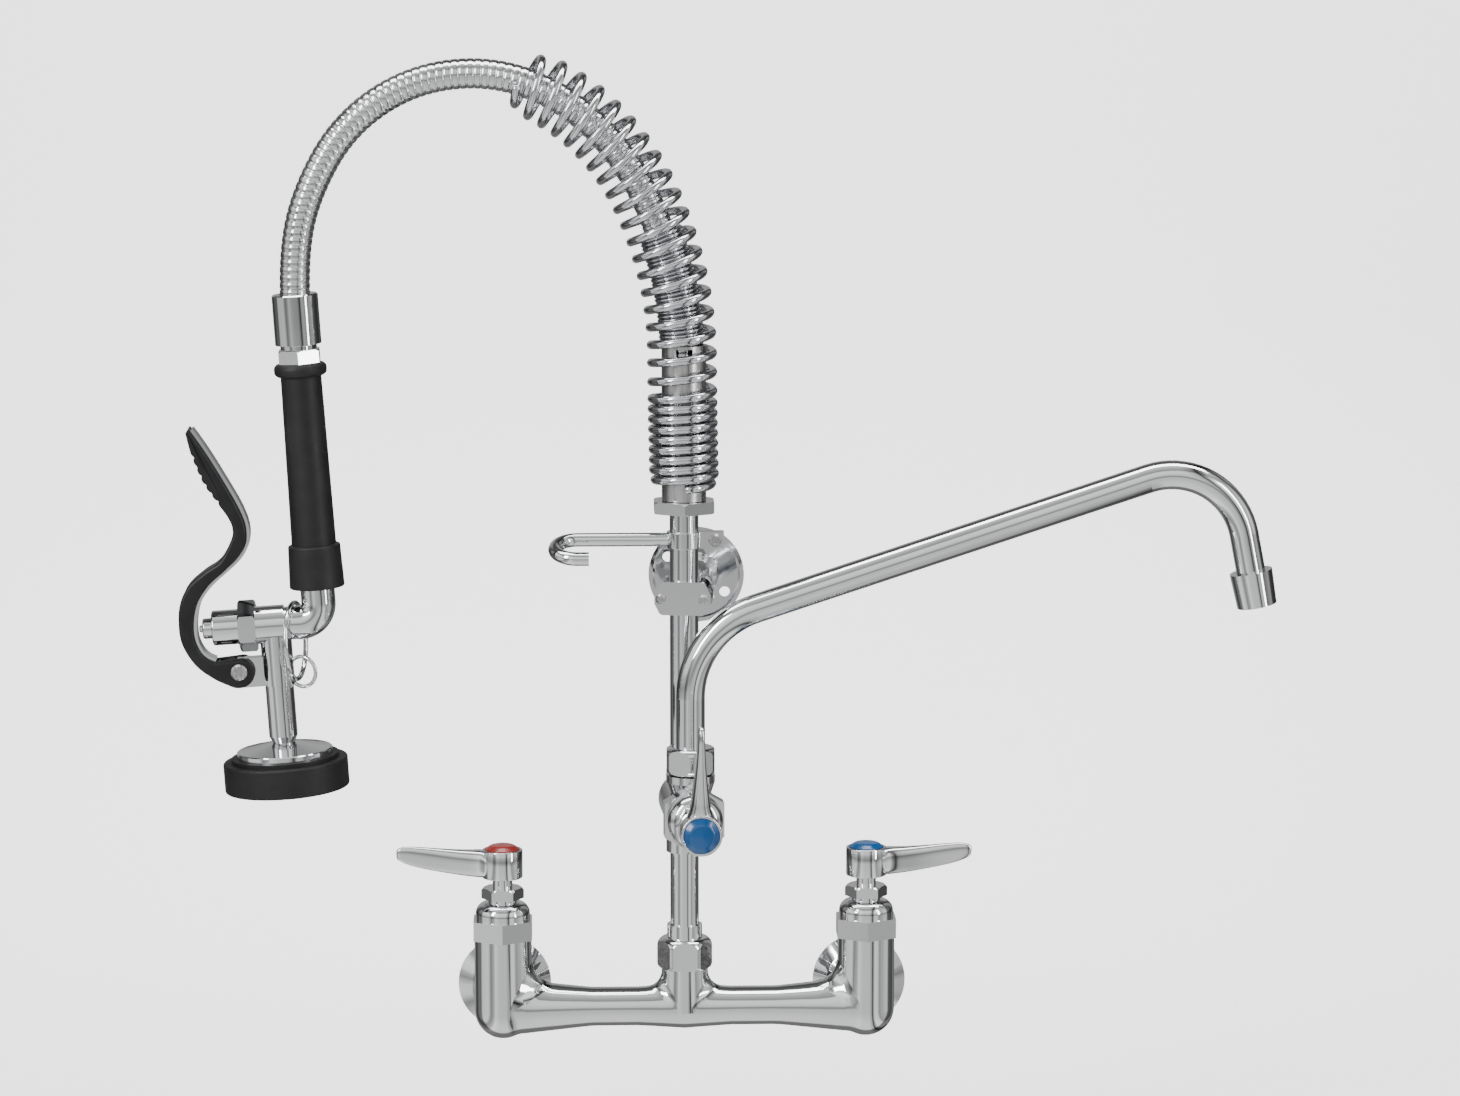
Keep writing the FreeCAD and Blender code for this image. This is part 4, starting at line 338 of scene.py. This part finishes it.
# The rubber cover's outline in the plane of the grip, in millimetres: left of the elbow, and
# height above it. The inner line is the bright strip's own edge.
COVER_OUTSIDE = ((65, 110), (62.5, 97), (57.5, 82), (50, 69.5), (45.5, 62), (43.5, 56), (44.5, 50),
                 (51.5, 38.5), (61, 32.5), (70, 25.5), (75, 17), (77, 7), (76.3, -6), (70, -18.5),
                 (60.5, -27), (51, -32.2))
STRIP_INSIDE = ((61, 112), (53, 98.5), (44, 81), (36.2, 63.5), (34.3, 53), (36.6, 43.4), (47, 32.5),
                (57.5, 24), (64.5, 14.5), (67.1, 5), (67.2, -4.5), (63.7, -12.7), (58, -16.5))
PIVOT = (45.9, -24.0)
COVER_TOP = (63.4, 112.4)
STRIP_THICK = 1.65
SPRAY_PLACE = Matrix.Translation(ELBOW) @ TILT.to_4x4()


def moved_along_normals(points, depths, closed):
    """Each point moved square to its line, to the line's left hand, by its own depth."""
    count = len(points)
    result = []
    for index, (point, depth) in enumerate(zip(points, depths)):
        before = points[index - 1] if closed else points[max(index - 1, 0)]
        after = points[(index + 1) % count] if closed else points[min(index + 1, count - 1)]
        run = math.dist(before, after)
        result.append((point[0] - (after[1] - before[1]) / run * depth,
                       point[1] + (after[0] - before[0]) / run * depth))
    return result


def finger_ridges(points):
    """The outer line with six grooves for the fingers near its top."""
    first, last, lead, ridge, deep = 12, 44, 2, 5.6, 1.2
    depths, along = [], 0.0
    for before, point in zip([points[0]] + points[:-1], points):
        along += math.dist(before, point)
        wave = 1 - abs(math.sin(math.pi * (along - first - lead) / ridge))
        depths.append(-deep * wave ** 1.5 if first < along < last else 0.0)
    return moved_along_normals(points, depths, closed=False)


def cover_outline():
    """The outer line, round the ear at the pivot, and back along the bright strip."""
    ear_start, ear_middle, ear_end = 9.66, 8.5, 7.28
    back_turn, front_turn = 122, 74
    outside = finger_ridges(smoothed(COVER_OUTSIDE, 16))
    strip = smoothed(STRIP_INSIDE, 6)
    inside = moved_along_normals(strip, [STRIP_THICK] * len(strip), closed=False)
    ear = []
    for turn in range(-112, 66, 8):
        if turn < 0:
            radius = ear_start + (ear_middle - ear_start) * (turn + back_turn) / back_turn
        else:
            radius = ear_middle + (ear_end - ear_middle) * turn / front_turn
        angle = math.radians(turn)
        ear.append((PIVOT[0] - radius * math.cos(angle), PIVOT[1] + radius * math.sin(angle)))
    return outside + ear + [(PIVOT[0] - 2, PIVOT[1] + 7)] + list(reversed(inside)) + [COVER_TOP]


def lever_cover(material):
    """A slab with rounded edges and a slot between its two ears."""
    outline = cover_outline()
    half, edge, steps = 9.0, 1.7, 6
    slot_across, slot_wide = 0.024, 0.0088
    layers = [(math.sin(math.pi / 2 * step / steps), math.cos(math.pi / 2 * step / steps))
              for step in range(steps + 1)]
    section = [(-(half - edge + edge * rise), edge * (1 - run)) for rise, run in reversed(layers)]
    section += [(-depth, inset) for depth, inset in reversed(section)]
    work = bmesh.new()
    rings = []
    for depth, inset in section:
        moved = moved_along_normals(outline, [-inset] * len(outline), closed=True)
        rings.append([work.verts.new(Vector((-left, depth, height)) / 1000) for left, height in moved])
    join_rings(work, rings)
    close_ends(work, rings)
    piece = mesh_piece("lever_cover_rubber", work)
    knife = bmesh.new()
    bmesh.ops.create_cone(knife, cap_ends=True, segments=64, radius1=slot_across / 2,
                          radius2=slot_across / 2, depth=slot_wide)
    cutter = mesh_piece("fork_slot", knife)
    cutter.rotation_euler = (math.pi / 2, 0, 0)
    cutter.location = (-PIVOT[0] / 1000, 0, PIVOT[1] / 1000)
    slot = piece.modifiers.new("slot", "BOOLEAN")
    slot.operation = "DIFFERENCE"
    slot.object = cutter
    bpy.context.view_layer.update()
    whole = piece.evaluated_get(bpy.context.evaluated_depsgraph_get())
    data = bpy.data.meshes.new_from_object(whole)
    piece.modifiers.clear()
    piece.data = data
    bpy.data.objects.remove(cutter)
    piece.data.transform(SPRAY_PLACE)
    finished(piece, material, "squeeze_lever", "lever_plastic", "lever_cover")


def wire_ring(name, across, wire, place):
    """A closed ring of round wire about the local X axis; its sizes are in millimetres."""
    steps, sides = 96, 16
    work = bmesh.new()
    rings = []
    for turn in around(steps):
        out = Vector((0, math.cos(turn), math.sin(turn)))
        centre = out * (across - wire) / 2
        rings.append([work.verts.new((centre + (out * math.cos(angle) + Vector((math.sin(angle), 0, 0)))
                                      * wire / 2) / 1000)
                      for angle in around(sides)])
    join_rings(work, rings + rings[:1])
    piece = mesh_piece(name, work)
    piece.data.transform(place)
    return piece


def wire_rings(material):
    """The hold ring hangs a little askew on the neck, with a small ring through it."""
    large = SPRAY_PLACE @ Matrix.Translation((-0.0142, 0, -0.0102)) @ Matrix.Rotation(-0.2, 4, "Z")
    small = SPRAY_PLACE @ Matrix.Translation((-0.0118, -0.0015, -0.0274)) @ Matrix.Rotation(1.1, 4, "Z")
    finished(wire_ring("hold_ring_wire", 45.0, 2.8, large), material, "rings", "chrome", "hold_ring")
    finished(wire_ring("link_ring_wire", 19.0, 2.2, small), material, "rings", "chrome", "link_ring")


def plunger_spring(material):
    """The spring behind the plunger, as a coil of fixed length; the real one shortens as the lever pushes
    the plunger in.
    """
    along = SPRAY_PLACE.to_3x3() @ Vector((-1, 0, 0))
    foot = SPRAY_PLACE @ Vector((-0.0149, 0, 0))
    long, pitch, wound = 0.012, 0.00198, 6
    axis = Line([foot, foot + along * long])
    turns = [pitch * index for index in range(wound + 1)]
    piece = coil("plunger_spring_coil", axis, turns, lambda turn: 0.0055, 0.0006, 8)
    finished(piece, material, "sprayer", "satin_steel", "plunger_spring")
    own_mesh(piece)


# ---------------------------------------------------------------- materials

def plain(name, colour, metallic, roughness):
    """A new material of one colour, and its shader."""
    material = bpy.data.materials.new(name)
    material.use_nodes = True
    shader = material.node_tree.nodes["Principled BSDF"]
    shader.inputs["Base Color"].default_value = (*colour, 1)
    shader.inputs["Metallic"].default_value = metallic
    shader.inputs["Roughness"].default_value = roughness
    return material, shader


def noise(material, scale, detail, stretch=(1, 1, 1)):
    """Noise in the object's own metres; stretch draws it out along an axis."""
    tree = material.node_tree
    place = tree.nodes.new("ShaderNodeTexCoord")
    mapping = tree.nodes.new("ShaderNodeMapping")
    mapping.inputs["Scale"].default_value = stretch
    cloud = tree.nodes.new("ShaderNodeTexNoise")
    cloud.inputs["Scale"].default_value = scale
    cloud.inputs["Detail"].default_value = detail
    tree.links.new(place.outputs["Object"], mapping.inputs["Vector"])
    tree.links.new(mapping.outputs["Vector"], cloud.inputs["Vector"])
    return cloud.outputs["Fac"]


def between(material, factor, low, high):
    """A number that runs from low to high as the factor crosses the middle of its range."""
    start, end = 0.35, 0.65
    tree = material.node_tree
    scale = tree.nodes.new("ShaderNodeMapRange")
    for name, value in (("From Min", start), ("From Max", end), ("To Min", low), ("To Max", high)):
        scale.inputs[name].default_value = value
    tree.links.new(factor, scale.inputs["Value"])
    return scale.outputs["Result"]


def tinted(material, shader, factor, dark, light):
    tree = material.node_tree
    mix = tree.nodes.new("ShaderNodeMix")
    mix.data_type = "RGBA"
    mix.inputs["A"].default_value = (*dark, 1)
    mix.inputs["B"].default_value = (*light, 1)
    tree.links.new(factor, mix.inputs["Factor"])
    tree.links.new(mix.outputs["Result"], shader.inputs["Base Color"])


def roughened(material, shader, factor, low, high):
    material.node_tree.links.new(between(material, factor, low, high), shader.inputs["Roughness"])


def bumped(material, shader, height, strength, depth):
    tree = material.node_tree
    bump = tree.nodes.new("ShaderNodeBump")
    bump.inputs["Strength"].default_value = strength
    bump.inputs["Distance"].default_value = depth
    tree.links.new(height, bump.inputs["Height"])
    tree.links.new(bump.outputs["Normal"], shader.inputs["Normal"])


def chrome(name, colour=(0.80, 0.81, 0.82), low=0.035, high=0.10, waves=0.00006):
    """Polished plating with faint water marks and the slight waviness of a buffed casting."""
    material, shader = plain(name, colour, 1, low)
    marks = noise(material, 55, 6)
    roughened(material, shader, marks, low, high)
    tinted(material, shader, between(material, noise(material, 18, 4), 0, 1),
           tuple(value * 0.94 for value in colour), colour)
    bumped(material, shader, noise(material, 70, 1), 0.25, waves)
    return material


def brushed(name, colour, stretch):
    """Metal with fine lines, drawn out along the axis where stretch is small."""
    low, high = 0.2, 0.38
    material, shader = plain(name, colour, 1, low)
    lines = noise(material, 900, 2, stretch)
    roughened(material, shader, lines, low, high)
    tinted(material, shader, between(material, noise(material, 40, 5), 0, 1),
           tuple(value * 0.82 for value in colour), colour)
    bumped(material, shader, lines, 0.3, 0.00002)
    return material


def rubber(name, colour, grain, low, high):
    """Moulded black rubber: fine grain, a little dust in the colour and worn, shinier patches."""
    material, shader = plain(name, colour, 0, high)
    shader.inputs["Specular IOR Level"].default_value = 0.4
    roughened(material, shader, noise(material, 35, 5), low, high)
    tinted(material, shader, between(material, noise(material, 90, 6), 0, 1), colour,
           tuple(value * 1.4 + 0.002 for value in colour))
    bumped(material, shader, noise(material, grain, 2), 0.35, 0.00008)
    return material


def enamel(name, colour):
    material, shader = plain(name, colour, 0, 0.18)
    shader.inputs["Coat Weight"].default_value = 0.3
    shader.inputs["Coat Roughness"].default_value = 0.08
    roughened(material, shader, noise(material, 150, 4), 0.14, 0.3)
    tinted(material, shader, between(material, noise(material, 60, 3), 0, 1),
           tuple(value * 0.75 for value in colour), colour)
    bumped(material, shader, noise(material, 260, 2), 0.15, 0.00003)
    return material


MATERIALS = {
    "chrome": chrome("chrome_plate"),
    "satin_steel": brushed("satin_steel", (0.62, 0.62, 0.61), (1, 1, 0.06)),
    "spring_steel": chrome("spring_chrome", (0.64, 0.65, 0.67), 0.06, 0.16, 0.00004),
    "hose_steel": chrome("hose_steel", (0.68, 0.69, 0.70), 0.1, 0.22, 0.00003),
    "brass": brushed("turned_brass", (0.72, 0.56, 0.28), (0.05, 0.05, 1)),
    "grip_rubber": rubber("grip_rubber", (0.006, 0.006, 0.007), 1400, 0.45, 0.62),
    "washer_rubber": rubber("washer_rubber", (0.02, 0.02, 0.02), 1800, 0.5, 0.7),
    "lever_plastic": rubber("lever_coating", (0.005, 0.005, 0.006), 900, 0.34, 0.5),
    "dark_plastic": rubber("dark_plastic", (0.03, 0.03, 0.032), 1200, 0.3, 0.5),
    "hot_red": enamel("hot_red", (0.36, 0.03, 0.022)),
    "cold_blue": enamel("cold_blue", (0.004, 0.085, 0.27)),
}


def dress_cad():
    """Each CAD node that stays gets the material of its slot."""
    for entry in frame["record"]["subparts"]:
        node = frame["nodes"][entry["node"]]
        node.data.materials.clear()
        node.data.materials.append(MATERIALS[entry["material_slot"]])


# ---------------------------------------------------------------- stage and light

def stage():
    """A pale floor that curves up into a backdrop; the chrome mirrors the studio and not this sheet."""
    material, shader = plain("stage_paper", (0.93, 0.93, 0.93), 0, 0.9)
    shader.inputs["Emission Color"].default_value = (1, 1, 1, 1)
    shader.inputs["Emission Strength"].default_value = 1.0
    work = bmesh.new()
    floor, top, back, bend, wide, steps = -0.12, 1.0, 0.9, 0.4, 0.62, 16
    section = [(0.0, floor)]
    section += [(back - bend + bend * math.sin(turn), floor + bend - bend * math.cos(turn))
                for turn in (math.pi / 2 * step / steps for step in range(steps + 1))]
    section.append((back, top))
    rows = [[work.verts.new((x, y, z)) for y, z in section] for x in (-wide, wide)]
    for index in range(len(section) - 1):
        work.faces.new((rows[0][index], rows[1][index], rows[1][index + 1], rows[0][index + 1]))
    piece = mesh_piece("stage", work)
    piece.data.materials.append(material)
    piece.visible_glossy = False


def panel(name, place, target, wide, tall, power):
    data = bpy.data.lights.new(name, "AREA")
    data.shape = "RECTANGLE"
    data.size, data.size_y = wide, tall
    data.energy = power
    lamp = bpy.data.objects.new(name, data)
    lamp.location = place
    lamp.rotation_euler = (Vector(target) - Vector(place)).to_track_quat("-Z", "Y").to_euler()
    bpy.context.scene.collection.objects.link(lamp)


# The studio that the chrome mirrors: how bright it is from left to right, from below to above,
# and from in front of the faucet to behind it, where it is dark.
STUDIO = {
    "X": ((0.0, 0.8), (0.06, 0.9), (0.13, 0.28), (0.19, 0.45), (0.26, 1.0), (0.33, 0.82), (0.40, 0.72),
          (0.60, 0.72), (0.66, 0.45), (0.70, 0.04), (0.73, 0.3), (0.77, 0.95), (0.84, 0.9), (0.89, 0.35),
          (0.95, 0.5), (1.0, 0.8)),
    "Z": ((0.0, 0.9), (0.38, 0.62), (0.46, 0.14), (0.50, 0.28), (0.56, 0.75), (0.70, 1.0), (0.80, 1.0),
          (0.84, 0.2), (0.90, 0.35), (1.0, 0.8)),
    "Y": ((0.0, 1.0), (0.50, 1.0), (0.60, 0.05), (0.86, 0.05), (1.0, 0.35)),
}


def ramp(tree, factor, stops):
    """A grey that runs smoothly through stops of place and brightness."""
    node = tree.nodes.new("ShaderNodeValToRGB")
    node.color_ramp.interpolation = "EASE"
    elements = node.color_ramp.elements
    elements.remove(elements[0])
    elements[0].position, elements[0].color = stops[0][0], (stops[0][1],) * 3 + (1,)
    for position, value in stops[1:]:
        elements.new(position).color = (value, value, value, 1)
    tree.links.new(factor, node.inputs["Fac"])
    return node.outputs["Color"]


def blended(tree, kind, factor, first, second):
    """The colour of two sockets or values, put together in the way that kind says."""
    mix = tree.nodes.new("ShaderNodeMix")
    mix.data_type = "RGBA"
    mix.blend_type = kind
    for socket, value in zip(("Factor", "A", "B"), (factor, first, second)):
        entry = next(entry for entry in mix.inputs if entry.name == socket and entry.enabled)
        if isinstance(value, bpy.types.NodeSocket):
            tree.links.new(value, entry)
        else:
            entry.default_value = value
    return next(output for output in mix.outputs if output.enabled)


def studio_world():
    """The studio in the mirror, and a plain white where the camera itself looks."""
    world = bpy.data.worlds.new("studio")
    world.use_nodes = True
    tree = world.node_tree
    place = tree.nodes.new("ShaderNodeTexCoord")
    split = tree.nodes.new("ShaderNodeSeparateXYZ")
    tree.links.new(place.outputs["Generated"], split.inputs["Vector"])
    shade = None
    for axis, stops in STUDIO.items():
        scale = tree.nodes.new("ShaderNodeMapRange")
        scale.inputs["From Min"].default_value = -1
        tree.links.new(split.outputs[axis], scale.inputs["Value"])
        colour = ramp(tree, scale.outputs["Result"], stops)
        shade = blended(tree, "MULTIPLY", 0.85, shade, colour) if shade else colour
    rays = tree.nodes.new("ShaderNodeLightPath")
    shade = blended(tree, "MIX", rays.outputs["Is Camera Ray"], shade, (1.4, 1.4, 1.4, 1))
    tree.links.new(shade, tree.nodes["Background"].inputs["Color"])
    tree.nodes["Background"].inputs["Strength"].default_value = 1.6
    bpy.context.scene.world = world


def light():
    studio_world()
    middle = (0, PLANE_Y, 0.25)
    panel("key", (-1.6, -1.6, 1.3), middle, 0.5, 1.4, 30)
    panel("fill", (1.7, -1.3, 0.7), middle, 0.3, 1.6, 14)
    panel("backdrop_glow", (0, 0.1, 2.2), (0, 1.0, 0.3), 3.0, 0.8, 60)


camera()
line = Line(hose_centreline())
hose(line, MATERIALS["hose_steel"])
overhead_spring(line, MATERIALS["spring_steel"])
guard_spring(line, MATERIALS["spring_steel"])
handles(MATERIALS["chrome"])
lever_cover(MATERIALS["lever_plastic"])
wire_rings(MATERIALS["chrome"])
plunger_spring(MATERIALS["satin_steel"])
dress_cad()
stage()
light()
